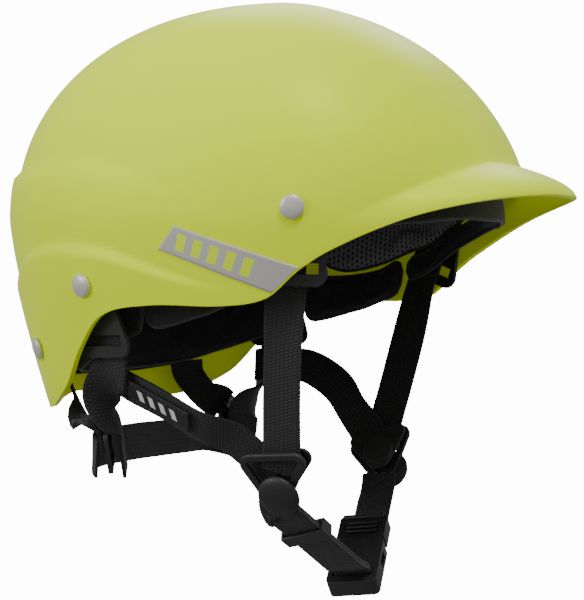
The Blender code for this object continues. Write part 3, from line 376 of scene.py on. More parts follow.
class Seat:
    """A local set-out: across, down and outward from a point."""

    def __init__(self, origin, across, down, outward):
        self.origin = origin
        self.down = down.normalized()
        self.across = (across - self.down * across.dot(self.down)).normalized()
        self.outward = self.across.cross(self.down)
        if self.outward.dot(outward) < 0:
            self.outward = -self.outward

    def leaned(self, degrees):
        lean = math.radians(degrees)
        down = self.down * math.cos(lean) - self.across * math.sin(lean)
        return Seat(self.origin, self.across, down, self.outward)

    def at(self, across, down, outward):
        return self.origin + self.across * across + self.down * down + self.outward * outward

    def matrix(self):
        turn = Matrix((self.across, self.down, self.outward)).transposed().to_4x4()
        return Matrix.Translation(self.origin) @ turn


def shell_seat(spot, side):
    angle = math.radians(spot[0]) * side
    origin = shell_point(angle, spot[1])
    down = shell_point(angle, spot[1] - 0.02) - origin
    step = 0.02 * side
    across = shell_point(angle - step, spot[1]) - shell_point(angle + step, spot[1])
    return Seat(origin, across, down, Vector((math.cos(angle), math.sin(angle), 0)))


def turned(profile, steps=40):
    """A bmesh spun about local Z from a profile of (radius, level)."""
    builder = bmesh.new()
    verts = [builder.verts.new((radius, 0, level)) for radius, level in profile]
    edges = [builder.edges.new(pair) for pair in zip(verts, verts[1:])]
    bmesh.ops.spin(builder, geom=verts + edges, axis=(0, 0, 1), cent=(0, 0, 0), dvec=(0, 0, 0),
                   angle=2 * math.pi, steps=steps, use_merge=True, use_duplicate=False)
    bmesh.ops.remove_doubles(builder, verts=builder.verts, dist=0.000002)
    return builder


def placed(builder, seat, shift=(0, 0, 0)):
    """Carry a shape made about the origin onto a set-out."""
    builder.transform(seat.matrix() @ Matrix.Translation(shift))
    bmesh.ops.recalc_face_normals(builder, faces=builder.faces)
    return builder


# Enamelled steel: warm pale grey, satin, with a faint mottle of 2 mm where the enamel pooled.
rivet_enamel, tree, shader = new_material("enamelled steel rivet", "CFCDC3", 0.32, Metallic=0.25)
add_grain(tree, shader, 500.0, 2.0, tones=("C4C2B7", "DAD8CE"))

spots = {"front": FRONT_RIVET, "rear_upper": REAR_UPPER_RIVET, "rear_lower": REAR_LOWER_RIVET}
seats = {}
for spot_name, spot in spots.items():
    for side_name, side in (("right", -1), ("left", 1)):
        name = spot_name + "_" + side_name
        seats[name] = shell_seat(spot, side)
        head = [(0.0, HEAD_GAP + HEAD_HEIGHT)]
        for step in range(1, 9):
            lean = math.pi / 2 * step / 9
            head.append((HEAD_RADIUS * 0.96 * math.sin(lean),
                         HEAD_GAP + HEAD_HEIGHT * (0.42 + 0.58 * math.cos(lean))))
        head += [(HEAD_RADIUS, HEAD_GAP + HEAD_HEIGHT * 0.36), (HEAD_RADIUS, HEAD_GAP + 0.0003),
                 (HEAD_RADIUS - 0.0003, HEAD_GAP), (SHANK_RADIUS, HEAD_GAP), (SHANK_RADIUS, -SHANK_DEPTH),
                 (SHANK_RADIUS * 0.6, -SHANK_DEPTH - 0.0003), (SHANK_RADIUS * 0.45, -SHANK_DEPTH + 0.0012),
                 (0.0, -SHANK_DEPTH + 0.0014)]
        add_piece("rivet_head_" + name, placed(turned(head), seats[name]), rivet_enamel, "helmet",
                  ["rivet_" + name], 50.0)
        eased_node("washer_" + name, 0.00025, rivet_enamel)

# ------------------------------------------------------------------ comfort pads
# Brushed nylon over soft foam, sewn back to back and piped round the seam, stuck in with hook and loop.
# Each is stuffed here by letting its cover swell like cloth, with its back and its seam held.
PAD_DEPTH, PAD_THICKNESS, SEAM_SHARE = 0.0125, 0.0054, 0.34
PUFF, PUFF_CAP, PUFF_FRAMES = 4.0, 0.0009, 20
BROW_TALL, TEMPLE_TOP, PAD_EDGE_GAP = 0.0131, 0.0160, 0.0005
BROW_EDGE = [(0, 0.003), (14, 0.003), (25, 0.001), (40, -0.0035), (54, -0.012), (74, -0.030)]
EAR_EDGE = [(76, -0.039), (90, -0.0465), (108, -0.0535)]
EAR_TOP = [(76, -0.0180), (84, -0.0245), (95, -0.0280), (108, -0.0285)]
TEMPLE_EDGE = [(44, 0.011), (54, 0.004), (66, -0.010), (74, -0.015), (84, -0.022), (95, -0.026),
               (104, -0.023)]
REAR_EDGE = [(109.5, -0.0560), (122, -0.0625), (135, -0.0700), (150, -0.0770), (180, -0.0800)]
REAR_TOP = [(109.5, -0.0360), (125, -0.0360), (133, -0.0450), (140, -0.0475), (180, -0.0475)]

# Brushed nylon: near black, no gloss, a soft nap that catches light at its edges. Fibre clumps are about
# 1 mm across.
brushed_nylon, tree, shader = new_material("brushed nylon pad cover", "1C1C1D", 0.95, Sheen_Weight=0.35)
shader.inputs["Sheen Roughness"].default_value = 0.4
add_grain(tree, shader, 1000.0, 5.0, relief=(0.8, 0.0005), tones=("0E0E0F", "2C2C2E"))

# Spacer mesh: mid grey knit with upright rows of slots, each slot painted near black as the shade down in the
# hole.
# Rows are 2.6 mm apart and slots 2.1 mm, each about 1.0 by 1.3 mm.
MESH_COLUMN, MESH_ROW = 2.6, 2.1
spacer_mesh, tree, shader = new_material("grey spacer mesh", "6E6E70", 0.9, Sheen_Weight=0.2)
run, rise = surface_axes(tree)
column = worked(tree, "DIVIDE", run, MESH_COLUMN)
shifted = worked(tree, "MULTIPLY_ADD", worked(tree, "FLOOR", column), MESH_ROW / 2, rise)
wide = worked(tree, "COMPARE", worked(tree, "FRACT", column), 0.5, 0.20)
tall = worked(tree, "COMPARE", worked(tree, "FRACT", worked(tree, "DIVIDE", shifted, MESH_ROW)), 0.5, 0.30)
shaded_holes = worked(tree, "MULTIPLY", wide, tall)
# painted shade: each slot is coloured near black for the shade inside the hole, and is also pressed in by the
# bump
add_tones(tree, shader, shaded_holes, "747477", "1C1C1E")
add_bump(tree, shader, shaded_holes, 0.7, 0.0004, invert=True)


def inset_point(angle, height, depth):
    """A point that lies depth inside the plain form, square to it."""
    step, rise = 0.01, 0.0005
    here = polar(angle, form_radius(angle, height), height)
    beside = polar(angle + step, form_radius(angle + step, height), height)
    above = polar(angle, form_radius(angle, height + rise), height + rise)
    return here - (beside - here).cross(above - here).normalized() * depth


def puffed(piece, held_verts):
    """Swell a pad's cover with cloth pressure, keep each point within the cap, and keep the result."""
    rest = [vert.co.copy() for vert in piece.data.vertices]
    group = piece.vertex_groups.new(name="held")
    group.add(held_verts, 1.0, "REPLACE")
    cloth = piece.modifiers.new("cover", "CLOTH")
    cloth.settings.quality = 6
    cloth.settings.mass = 0.2
    cloth.settings.use_pressure = True
    cloth.settings.uniform_pressure_force = PUFF
    cloth.settings.effector_weights.gravity = 0.0
    cloth.settings.shrink_min = -0.06
    cloth.settings.vertex_group_mass = "held"
    for number in range(1, PUFF_FRAMES + 1):
        bpy.context.scene.frame_set(number)
    shaped = piece.evaluated_get(bpy.context.evaluated_depsgraph_get())
    moved = [vert.co.copy() for vert in shaped.data.vertices]
    piece.modifiers.remove(cloth)
    piece.vertex_groups.remove(group)
    for vert, start, end in zip(piece.data.vertices, rest, moved):
        step = end - start
        if step.length > PUFF_CAP:
            step = step.normalized() * PUFF_CAP
        vert.co = start + step
    bpy.context.scene.frame_set(1)


def add_pad(name, first, last, low, high, cuts, material, slot, round_share, node, thickness=PAD_THICKNESS):
    """A crowned pad on the inside of the form between two angles and two height outlines."""
    middle, half = math.radians((first + last) / 2), math.radians(abs(last - first) / 2)
    length = half * 100
    builder = bmesh.new()
    marks = builder.loops.layers.uv.new("UVMap")
    spots = {}
    for inner in (0, 1):
        grid = bmesh.ops.create_grid(builder, x_segments=cuts[0], y_segments=cuts[1], size=1.0)["verts"]
        spots.update({vert: (vert.co.x, vert.co.y, inner) for vert in grid})
    for face in builder.faces:
        for loop in face.loops:
            a, b, inner = spots[loop.vert]
            loop[marks].uv = (a * length, b * 14.0)
    seam, held = [], []
    for vert, (a, b, inner) in spots.items():
        angle = middle + a * half
        turn = off_front(angle)
        bottom, top = low(turn), high(turn)
        end = max(abs(a) - (1 - round_share), 0) / round_share
        reach = (top - bottom) / 2 * (0.35 + 0.65 * math.sqrt(max(1 - end ** 2, 0)))
        crown = (1 - abs(a) ** 14) * (1 - abs(b) ** 5)
        depth = PAD_DEPTH + (thickness * (SEAM_SHARE + (1 - SEAM_SHARE) * crown) if inner else 0)
        vert.co = inset_point(angle, (top + bottom) / 2 + b * reach, depth)
        on_edge = max(abs(a), abs(b)) > 0.999
        if on_edge and inner:
            seam.append((math.atan2(b, a), vert))
        if on_edge or not inner:
            held.append(vert)
    builder.verts.index_update()
    held_verts = [vert.index for vert in held]
    bmesh.ops.bridge_loops(builder, edges=[edge for edge in builder.edges if edge.is_boundary])
    bmesh.ops.recalc_face_normals(builder, faces=builder.faces)
    line = [vert.co.copy() for _, vert in sorted(seam, key=lambda entry: entry[0])]
    piece = add_piece(name, builder, material, "helmet", [node], 180.0)
    puffed(piece, held_verts)
    fuller = piece.modifiers.new("fuller", "SUBSURF")
    fuller.levels = fuller.render_levels = 1
    return piece, line


def add_tube(name, points, radius, material, body, closed=True, sides=2):
    """A round cord of cloth or wire along points, kept as a mesh."""
    curve = bpy.data.curves.new(name, "CURVE")
    curve.dimensions, curve.bevel_depth, curve.bevel_resolution = "3D", radius, sides
    spline = curve.splines.new("POLY")
    spline.points.add(len(points) - 1)
    for place, point in zip(spline.points, points):
        place.co = (*point, 1.0)
    spline.use_cyclic_u = closed
    curve.use_fill_caps = True
    maker = bpy.data.objects.new(name + "_line", curve)
    bpy.context.collection.objects.link(maker)
    bpy.context.view_layer.update()
    mesh = bpy.data.meshes.new_from_object(maker.evaluated_get(bpy.context.evaluated_depsgraph_get()))
    bpy.data.objects.remove(maker)
    builder = bmesh.new()
    builder.from_mesh(mesh)
    bmesh.ops.recalc_face_normals(builder, faces=builder.faces)
    return add_piece(name, builder, material, body, (), 60.0)


# Piping is a folded nylon binding round a cord, smoother than the pad's nap and a shade lighter.
piping_nylon, tree, shader = new_material("nylon piping", "2A2A2B", 0.6, Sheen_Weight=0.2)
add_grain(tree, shader, 1400.0, 2.0, relief=(0.4, 0.0002))
PIPING_RADIUS = 0.0008

brow_end, rear_end = BROW_EDGE[-1][0], REAR_EDGE[0][0]
pads = [("brow", -brow_end, brow_end, lambda t: along(BROW_EDGE, t) + 0.0004,
         lambda t: along(BROW_EDGE, t) + BROW_TALL, (110, 10), brushed_nylon, "pad_fabric", 0.04, "brow_pad"),
        ("rear", rear_end, 360 - rear_end, lambda t: along(REAR_EDGE, t) + 0.0006,
         lambda t: along(REAR_TOP, t) - 0.0006, (110, 16), brushed_nylon, "pad_fabric", 0.05, "rear_pad")]
for side_name, side in (("right", -1), ("left", 1)):
    pads.append(("temple", 44 * side, 104 * side, lambda t: along(TEMPLE_EDGE, t) + PAD_EDGE_GAP,
                 lambda t: TEMPLE_TOP, (50, 14), spacer_mesh, "mesh_fabric", 0.12,
                 "temple_pad_" + side_name))
    pads.append(("ear", 76 * side, 108 * side, lambda t: along(EAR_EDGE, t) + PAD_EDGE_GAP,
                 lambda t: along(EAR_TOP, t) - PAD_EDGE_GAP, (32, 12), brushed_nylon, "pad_fabric", 0.25,
                 "ear_pad_" + side_name))
for kind, *outline, node in pads:
    ending = node.removeprefix(kind + "_pad")
    _, line = add_pad(kind + "_cushion" + ending, *outline, node)
    add_tube(kind + "_piping" + ending, line, PIPING_RADIUS, piping_nylon, "helmet")

# ------------------------------------------------------------------ crown pad
# A small oval of the same brushed nylon over foam, pressed against the liner, flat where a head bears.
crown_cushion = eased_node("crown_pad", 0, brushed_nylon, sharp=180.0)
crown_round = crown_cushion.modifiers.new("soft edge", "BEVEL")
crown_round.width, crown_round.segments, crown_round.limit_method = 0.0008, 3, "ANGLE"

# ------------------------------------------------------------------ webbing
# Flat woven polyester tape, 18 mm wide and 1.6 mm thick, black. Its ribs run across in two staggered
# files between smooth selvages; each rib's crest is painted lighter and the grooves between are painted
# darker, as painted light and shade.
# Ribs are 1.5 mm apart, and drawn a little proud so that they show.
WEB_WIDTH, WEB_THICKNESS, WEB_CLEARANCE = 0.018, 0.0016, 0.0006
RIB_PITCH, FILE_WIDTH = 1.5, 2.1

web_cloth, tree, shader = new_material("woven polyester tape", "1A1A1B", 0.78, Sheen_Weight=0.15)
run, rise = surface_axes(tree)
file_turn = worked(tree, "DIVIDE", run, FILE_WIDTH)
stagger = worked(tree, "MULTIPLY_ADD", worked(tree, "FLOOR", file_turn), RIB_PITCH / 2, rise)
rib = worked(tree, "SINE", worked(tree, "MULTIPLY", stagger, 2 * math.pi / RIB_PITCH))
file_arch = worked(tree, "SINE", worked(tree, "MULTIPLY", worked(tree, "FRACT", file_turn), math.pi))
weave_relief_and_shade = worked(tree, "MULTIPLY", worked(tree, "MULTIPLY_ADD", rib, 0.5, 0.5),
               worked(tree, "POWER", file_arch, 0.45))
# painted light and shade: rib crests coloured lighter, grooves between ribs and files coloured darker
add_tones(tree, shader, weave_relief_and_shade, "070708", "29292B")
add_bump(tree, shader, weave_relief_and_shade, 0.7, 0.00035)

# Bonded nylon thread, a shade lighter than the tape, 0.5 mm thick in 2.6 mm stitches.
thread, tree, shader = new_material("bonded nylon thread", "3A3A3C", 0.55)
add_grain(tree, shader, 3000.0, 2.0, relief=(0.4, 0.0001))
STITCH_PITCH, STITCH_LENGTH, STITCH_WIDTH = 0.0026, 0.0019, 0.00055


def curve_through(stations, steps):
    """A smooth run through stations of (point, across)."""
    run = []
    last = len(stations) - 1
    for i in range(last):
        before, start = stations[max(i - 1, 0)], stations[i]
        end, after = stations[i + 1], stations[min(i + 2, last)]
        for k in range(steps + 1 if i == last - 1 else steps):
            t = k / steps
            run.append([0.5 * (2 * start[j] + (end[j] - before[j]) * t
                               + (2 * before[j] - 5 * start[j] + 4 * end[j] - after[j]) * t ** 2
                               + (3 * start[j] - before[j] - 3 * end[j] + after[j]) * t ** 3)
                        for j in (0, 1)])
    return run


def add_webbing(name, stations, body, stands_for=(), thickness=WEB_THICKNESS, lift=0.0, steps=8):
    """Tape along stations; lift moves it off the stations, square to its face."""
    run = curve_through(stations, steps)
    builder = bmesh.new()
    grid = bmesh.ops.create_grid(builder, x_segments=8, y_segments=len(run) - 1, size=1.0)["verts"]
    spots = {vert: (vert.co.x, round((vert.co.y + 1) / 2 * (len(run) - 1))) for vert in grid}
    lengths = [0.0]
    for (start, _), (end, _) in zip(run, run[1:]):
        lengths.append(lengths[-1] + (end - start).length)
    marks = builder.loops.layers.uv.new("UVMap")
    for face in builder.faces:
        for loop in face.loops:
            a, i = spots[loop.vert]
            loop[marks].uv = ((a + 1) * WEB_WIDTH * 500, lengths[i] * 1000)
    for vert, (a, i) in spots.items():
        place, across = run[i]
        ahead = (run[min(i + 1, len(run) - 1)][0] - run[max(i - 1, 0)][0]).normalized()
        across = (across - ahead * across.dot(ahead)).normalized()
        vert.co = place + across * a * (WEB_WIDTH / 2) + ahead.cross(across) * lift
    bmesh.ops.recalc_face_normals(builder, faces=builder.faces)
    piece = add_piece(name, builder, web_cloth, body, stands_for, 60.0)
    tape = piece.modifiers.new("tape", "SOLIDIFY")
    tape.thickness, tape.offset = thickness, 0.0
    edge = piece.modifiers.new("rolled edge", "BEVEL")
    edge.width, edge.segments, edge.limit_method = thickness * 0.3, 2, "ANGLE"
    edge.angle_limit = math.radians(60)
    return piece, run


def add_stitches(name, rows, body):
    """Sewn thread: each row is (start, end, outward), filled with short flattened stitches."""
    builder = bmesh.new()
    for start, end, outward in rows:
        ahead = (end - start).normalized()
        count = max(int((end - start).length / STITCH_PITCH), 1)
        turn = Matrix((ahead, outward.cross(ahead).normalized(), outward.normalized())).transposed().to_4x4()
        for i in range(count):
            middle = start.lerp(end, (i + 0.5) / count)
            size = Matrix.Diagonal((STITCH_LENGTH, STITCH_WIDTH, STITCH_WIDTH * 0.7, 1.0))
            bmesh.ops.create_uvsphere(builder, u_segments=8, v_segments=5, radius=0.5,
                                      matrix=Matrix.Translation(middle) @ turn @ size)
    bmesh.ops.recalc_face_normals(builder, faces=builder.faces)
    return add_piece(name, builder, thread, body, (), 80.0)


# ------------------------------------------------------------------ hangers
# Moulded acetal tabs, one on each of four rivets: a round eye over a wide slot that carries the tape.
HANGER_DEPTH, HANGER_THICKNESS, HANGER_LENGTH = 0.0062, 0.0020, 0.029
HANGER_LEAN = {"front_right": 1.0, "front_left": 16.0, "rear_upper_right": 0.0, "rear_upper_left": 0.0}
HANGER_SLIP = {"front_right": -0.0026, "front_left": -0.0026, "rear_upper_right": 0.0, "rear_upper_left": 0.0}

hangers = {}
for place_name, node_name in (("front", "front_hanger"), ("rear_upper", "rear_hanger")):
    for side_name in ("right", "left"):
        name = place_name + "_" + side_name
        hangers[name] = seats[name].leaned(HANGER_LEAN[name])
        eased_node(node_name + "_" + side_name, 0.0005, acetal, 3)


def hanger_web_start(name):
    """Stations of tape behind a hanger's slot, then clear below it."""
    seat, slip = hangers[name], HANGER_SLIP[name]
    depth = -(HANGER_DEPTH + HANGER_THICKNESS + WEB_CLEARANCE + WEB_THICKNESS / 2)
    return [(seat.at(slip, HANGER_LENGTH - 0.009, depth), seat.across),
            (seat.at(slip, HANGER_LENGTH + 0.001, depth), seat.across),
            (seat.at(slip, HANGER_LENGTH + 0.010, depth - 0.0008), seat.across)]


# ------------------------------------------------------------------ yokes
# Where front and label straps meet, a moulded acetal window frame and a snap cap face outwards and a
# back plate with a round boss lies inside; the tapes are sewn to a mitre between them.


def low_point(x, y, height):
    return Vector((x, y, height - SEAT_DROP))


YOKE_PLACES = {"right": (low_point(0.0312, -0.0735, -0.1142), Vector((-0.228, 0.390, -0.890))),
               "left": (low_point(0.0248, 0.0648, -0.1150), Vector((0.087, -0.410, -0.908)))}
YOKE_THICKNESS, YOKE_CAP_DROP, YOKE_CAP_SHIFT = 0.0028, 0.0085, 0.0034
CAP_RADIUS, CAP_HEIGHT = 0.0100, 0.0042
WEB_LAYER = -(YOKE_THICKNESS / 2 + WEB_CLEARANCE + WEB_THICKNESS / 2)
REAR_LAYER = WEB_LAYER - WEB_THICKNESS - WEB_CLEARANCE

yokes = {}
for side_name, side in (("right", -1), ("left", 1)):
    origin, down = YOKE_PLACES[side_name]
    yoke = yokes[side_name] = Seat(origin, Vector((1, 0, 0)), down, Vector((0, side, -0.4)))
    eased_node("yoke_frame_" + side_name, 0.0009, acetal, 3, 40.0)
    eased_node("yoke_back_" + side_name, 0.0005, acetal, 3, 40.0)
    low = YOKE_THICKNESS / 2 + 0.0004
    cap = [(0.0, low + CAP_HEIGHT)]
    for step in range(1, 9):
        lean = math.pi / 2 * step / 8
        cap.append((CAP_RADIUS * math.sin(lean), low + CAP_HEIGHT * (0.30 + 0.70 * math.cos(lean) ** 0.9)))
    cap += [(CAP_RADIUS, low + 0.0004), (CAP_RADIUS - 0.0004, low), (0.0, low)]
    button = placed(turned(cap, 56), yoke, (YOKE_CAP_SHIFT, YOKE_CAP_DROP, 0))
    add_piece("yoke_button_" + side_name, button, acetal, "chin_harness",
              ["yoke_cap_" + side_name], 50.0)
    face = WEB_LAYER + WEB_THICKNESS / 2
    rows = [(yoke.at(-0.0062, -0.0075, face), yoke.at(0.0005, 0.0010, face), yoke.outward),
            (yoke.at(0.0090, -0.0075, face), yoke.at(0.0022, 0.0010, face), yoke.outward)]
    add_stitches("yoke_stitches_" + side_name, rows, "chin_harness")

# ------------------------------------------------------------------ chin straps
# Each front strap runs straight from its hanger into the yoke. Each label strap runs back from the
# yoke and ends behind the drop strap, which it slides on.
LABEL_STRAP_REAR = {
    "right": [((-0.0540, -0.0732, -0.0722), (-0.28, 0.56, -0.77)),
              ((-0.0450, -0.0762, -0.0766), (-0.28, 0.56, -0.77)),
              ((-0.0234, -0.0820, -0.0837), (-0.28, 0.56, -0.77)),
              ((-0.0026, -0.0820, -0.0935), (-0.28, 0.56, -0.77))],
    "left": [((-0.0530, 0.0735, -0.0736), (-0.12, -0.45, -0.85)),
             ((-0.0420, 0.0765, -0.0730), (-0.16, -0.45, -0.85)),
             ((-0.0250, 0.0795, -0.0735), (-0.35, -0.40, -0.80)),
             ((-0.0067, 0.0765, -0.0825), (-0.58, -0.20, -0.72)),
             ((0.0050, 0.0706, -0.0945), (-0.66, 0.0, -0.70))]}
LABEL_STRAP_LEAN = {"right": 0.50, "left": 0.85}
LABEL_STRAP_ENTRY = {"right": ((-0.0240, -0.0095), (-0.0125, -0.0035), (-0.0010, 0.0025)),
                     "left": ((-0.0080, -0.0105), (-0.0010, 0.0010))}


def stations(points):
    return [(low_point(*place), Vector(across)) for place, across in points]


label_runs = {}
for side_name, side in (("right", -1), ("left", 1)):
    yoke = yokes[side_name]
    forward = Vector((1, 0, 0))
    start = hanger_web_start("front_" + side_name)
    top, enter = start[-1][0], yoke.at(0.0010, -0.013, WEB_LAYER)
    front = start + [(top.lerp(enter, 0.35) + Vector((0, side * 0.0012, 0)), forward),
                     (top.lerp(enter, 0.70) + Vector((0, side * 0.0010, 0)), forward),
                     (enter, yoke.across), (yoke.at(0.0010, 0.0, WEB_LAYER), yoke.across)]
    add_webbing("front_tape_" + side_name, front, "chin_harness", ["front_strap_" + side_name])
    rear = stations(LABEL_STRAP_REAR[side_name])
    lean = yoke.down - yoke.across * LABEL_STRAP_LEAN[side_name]
    rear += [(yoke.at(across, down, REAR_LAYER), lean) for across, down in LABEL_STRAP_ENTRY[side_name]]
    label_runs[side_name] = rear
    add_webbing("label_tape_" + side_name, rear, "chin_harness", ["label_strap_" + side_name])

# ------------------------------------------------------------------ strap label
# A woven patch sewn round its edge to the right label strap. Plain pale slanted bars stand in for its
# wording.
LABEL_LONG, LABEL_TALL, LABEL_LIFT, LABEL_THICK = 0.037, 0.0116, 0.0011, 0.0008
LABEL_BLACK = "1D1D1E"

# Fine woven damask: soft black with no gloss, and pale grey bars woven in.
label_weave, tree, shader = new_material("woven label", LABEL_BLACK, 0.7)
slanted_bars(tree, shader, pitch=6.6, lean=-0.35, bar=(0.40, 0.24), middle=(-0.7, 0.0), reach=(13.0, 2.7),
             colours=(LABEL_BLACK, "DADADB"))

run = label_runs["right"]
ahead = (run[3][0] - run[1][0]).normalized()
across = (run[2][1] - ahead * run[2][1].dot(ahead)).normalized()
label = Seat(run[2][0] + (run[3][0] - run[1][0]) * 0.02, ahead, across, Vector((0.2, -1, 0)))
level = WEB_THICKNESS / 2 + LABEL_LIFT + LABEL_THICK
builder = bmesh.new()
bmesh.ops.create_grid(builder, x_segments=24, y_segments=8, size=1.0)
marks = builder.loops.layers.uv.new("UVMap")
for face in builder.faces:
    for loop in face.loops:
        loop[marks].uv = (loop.vert.co.x * LABEL_LONG * 500, loop.vert.co.y * LABEL_TALL * 500)
for vert in builder.verts:
    vert.co = label.at(vert.co.x * LABEL_LONG / 2, vert.co.y * LABEL_TALL / 2, level)
bmesh.ops.recalc_face_normals(builder, faces=builder.faces)
if builder.faces[:][0].normal.dot(label.outward) < 0:
    bmesh.ops.reverse_faces(builder, faces=builder.faces)
patch = add_piece("label_patch", builder, label_weave, "chin_harness", ["strap_label_right"])
backing = patch.modifiers.new("backing", "SOLIDIFY")
backing.thickness, backing.offset = LABEL_THICK, -1.0
turned_edge = patch.modifiers.new("turned edge", "BEVEL")
turned_edge.width, turned_edge.segments, turned_edge.limit_method = 0.0003, 2, "ANGLE"
a, b = LABEL_LONG / 2 - 0.0014, LABEL_TALL / 2 - 0.0013
corners = [label.at(x, y, level) for x, y in ((-a, -b), (a, -b), (a, b), (-a, b))]
add_stitches("label_stitches", [(corners[i], corners[(i + 1) % 4], label.outward) for i in range(4)],
             "chin_harness")

# ------------------------------------------------------------------ chin webs, keeper and buckle
# Doubled tape runs from the right yoke to the socket's end bar, gathered by a sliding keeper. The left
# tape runs under the clip, whose own fold threads its tail. Buckle and keeper are moulded acetal.
BUCKLE_FOOT, BUCKLE_AIM = low_point(0.0412, -0.0080, -0.1735), low_point(0.0245, 0.0600, -0.1215)
CHIN_WEB_START, CHIN_WEB_END = low_point(0.0310, -0.0610, -0.1335), low_point(0.0405, -0.0170, -0.1608)
SOCKET_BAR, SOCKET_SLOT, CLIP_THICKNESS, FOLD_LIFT = 0.0045, 0.0055, 0.0084, -0.0018
LAYER_THICKNESS, LAYER_LIFT = 0.00125, 0.00075

buckle = Seat(BUCKLE_FOOT, Vector((1, 0, 0)), BUCKLE_AIM - BUCKLE_FOOT, Vector((0, -0.6, 0.8)))
right, left = yokes["right"], yokes["left"]
run = [(right.at(0.001, 0.0115, WEB_LAYER - 0.0004), right.across),
       (right.at(0.001, 0.0190, WEB_LAYER - 0.0004), right.across)]
web_across = Vector((0.97, 0.0, 0.24))
run += [(CHIN_WEB_START.lerp(CHIN_WEB_END, share), web_across) for share in (0.0, 0.25, 0.5, 0.75, 1.0)]
centre = SOCKET_BAR + SOCKET_SLOT / 2
run += [(buckle.at(0, centre, lift), buckle.across) for lift in (0.0065, 0.0, -0.0062)]
add_webbing("chin_tape_right_upper", run, "chin_harness", ["chin_web_right"], LAYER_THICKNESS, LAYER_LIFT)
add_webbing("chin_tape_right_lower", run, "chin_harness", (), LAYER_THICKNESS, -LAYER_LIFT)
web_ahead = (CHIN_WEB_END - CHIN_WEB_START).normalized()
web_side = (web_across - web_ahead * web_across.dot(web_ahead)).normalized()
web_face = web_ahead.cross(web_side)
rows = []
for share in (0.70, 0.80):
    middle = CHIN_WEB_START.lerp(CHIN_WEB_END, share)
    for face in (-1, 1):
        lift = web_face * face * (LAYER_LIFT + LAYER_THICKNESS / 2)
        rows.append((middle - web_side * 0.0075 + lift, middle + web_side * 0.0075 + lift, web_face * face))
add_stitches("chin_web_stitches", rows, "chin_harness")

under = -(CLIP_THICKNESS / 2 + WEB_CLEARANCE + WEB_THICKNESS / 2)
run = [(buckle.at(0, down, under), buckle.across) for down in (0.0500, 0.0575, 0.0650)]
run += [(left.at(0.001, 0.0215, WEB_LAYER - 0.0010), left.across),
        (left.at(0.001, 0.0125, WEB_LAYER - 0.0004), left.across)]
add_webbing("chin_tape_left", run, "chin_harness", ["chin_web_left"])
run = [(buckle.at(0, down, FOLD_LIFT), buckle.across) for down in (0.0335, 0.0430, 0.0520)]
add_webbing("chin_tape_fold", run, "buckle_clip", ["chin_web_fold"])

eased_node("buckle_socket", 0.0007, acetal, 3, 45.0)
eased_node("buckle_clip", 0.0005, acetal, 3, 45.0)
eased_node("strap_keeper", 0.0006, acetal, 3, 45.0)
for side_name in ("right", "left"):
    eased_node("buckle_prong_" + side_name, 0.0004, acetal, 2)

# The clip's tail has a ladder bar and three finger ribs moulded proud of both its broad faces.
CLIP_END = 0.0467
LADDER_BAR = (CLIP_END - 0.0016, 0.0205, 0.0014)
FINGER_RIB, FINGER_RIB_PLACES = (0.0150, 0.0007), (0.0352, 0.0380, 0.0408)
for face_name, face in (("upper", 1), ("lower", -1)):
    builder = bmesh.new()
    for down, long, tall in [LADDER_BAR] + [(down, *FINGER_RIB) for down in FINGER_RIB_PLACES]:
        shape = Matrix.Translation((0, down, face * CLIP_THICKNESS / 2))
        shape = shape @ Matrix.Rotation(math.pi / 2, 4, "Y")
        bmesh.ops.create_cone(builder, cap_ends=True, segments=16, radius1=tall, radius2=tall, depth=long,
                              matrix=shape)
    ends = [edge for edge in builder.edges if len(edge.link_faces) == 2 and edge.calc_face_angle() > 1.2]
    bmesh.ops.bevel(builder, geom=ends, offset=0.0003, segments=2, affect="EDGES", profile=0.5, material=-1)
    add_piece("clip_ribs_" + face_name, placed(builder, buckle), acetal, "buckle_clip")

# ------------------------------------------------------------------ nape loop
# A drop strap hangs from each rear hanger and twists into a moulded ladder lock. A nape strap comes
# from behind the rear pad to the same lock, and one cross band joins the two locks.
LOCKS = {"right": low_point(-0.0560, -0.0715, -0.1065), "left": low_point(-0.0615, 0.0690, -0.1080)}
DROPS = {"right": [((-0.0533, -0.0835, -0.0800), (0.80, 0.60, 0)),
                   ((-0.0523, -0.0790, -0.0900), (0.20, 0.95, 0))],
         "left": [((-0.0515, 0.0830, -0.0800), (0.80, -0.60, 0)),
                  ((-0.0540, 0.0775, -0.0900), (0.20, -0.95, 0))]}
LOCK_THICKNESS, LOCK_OFFSET = 0.0022, 0.0050

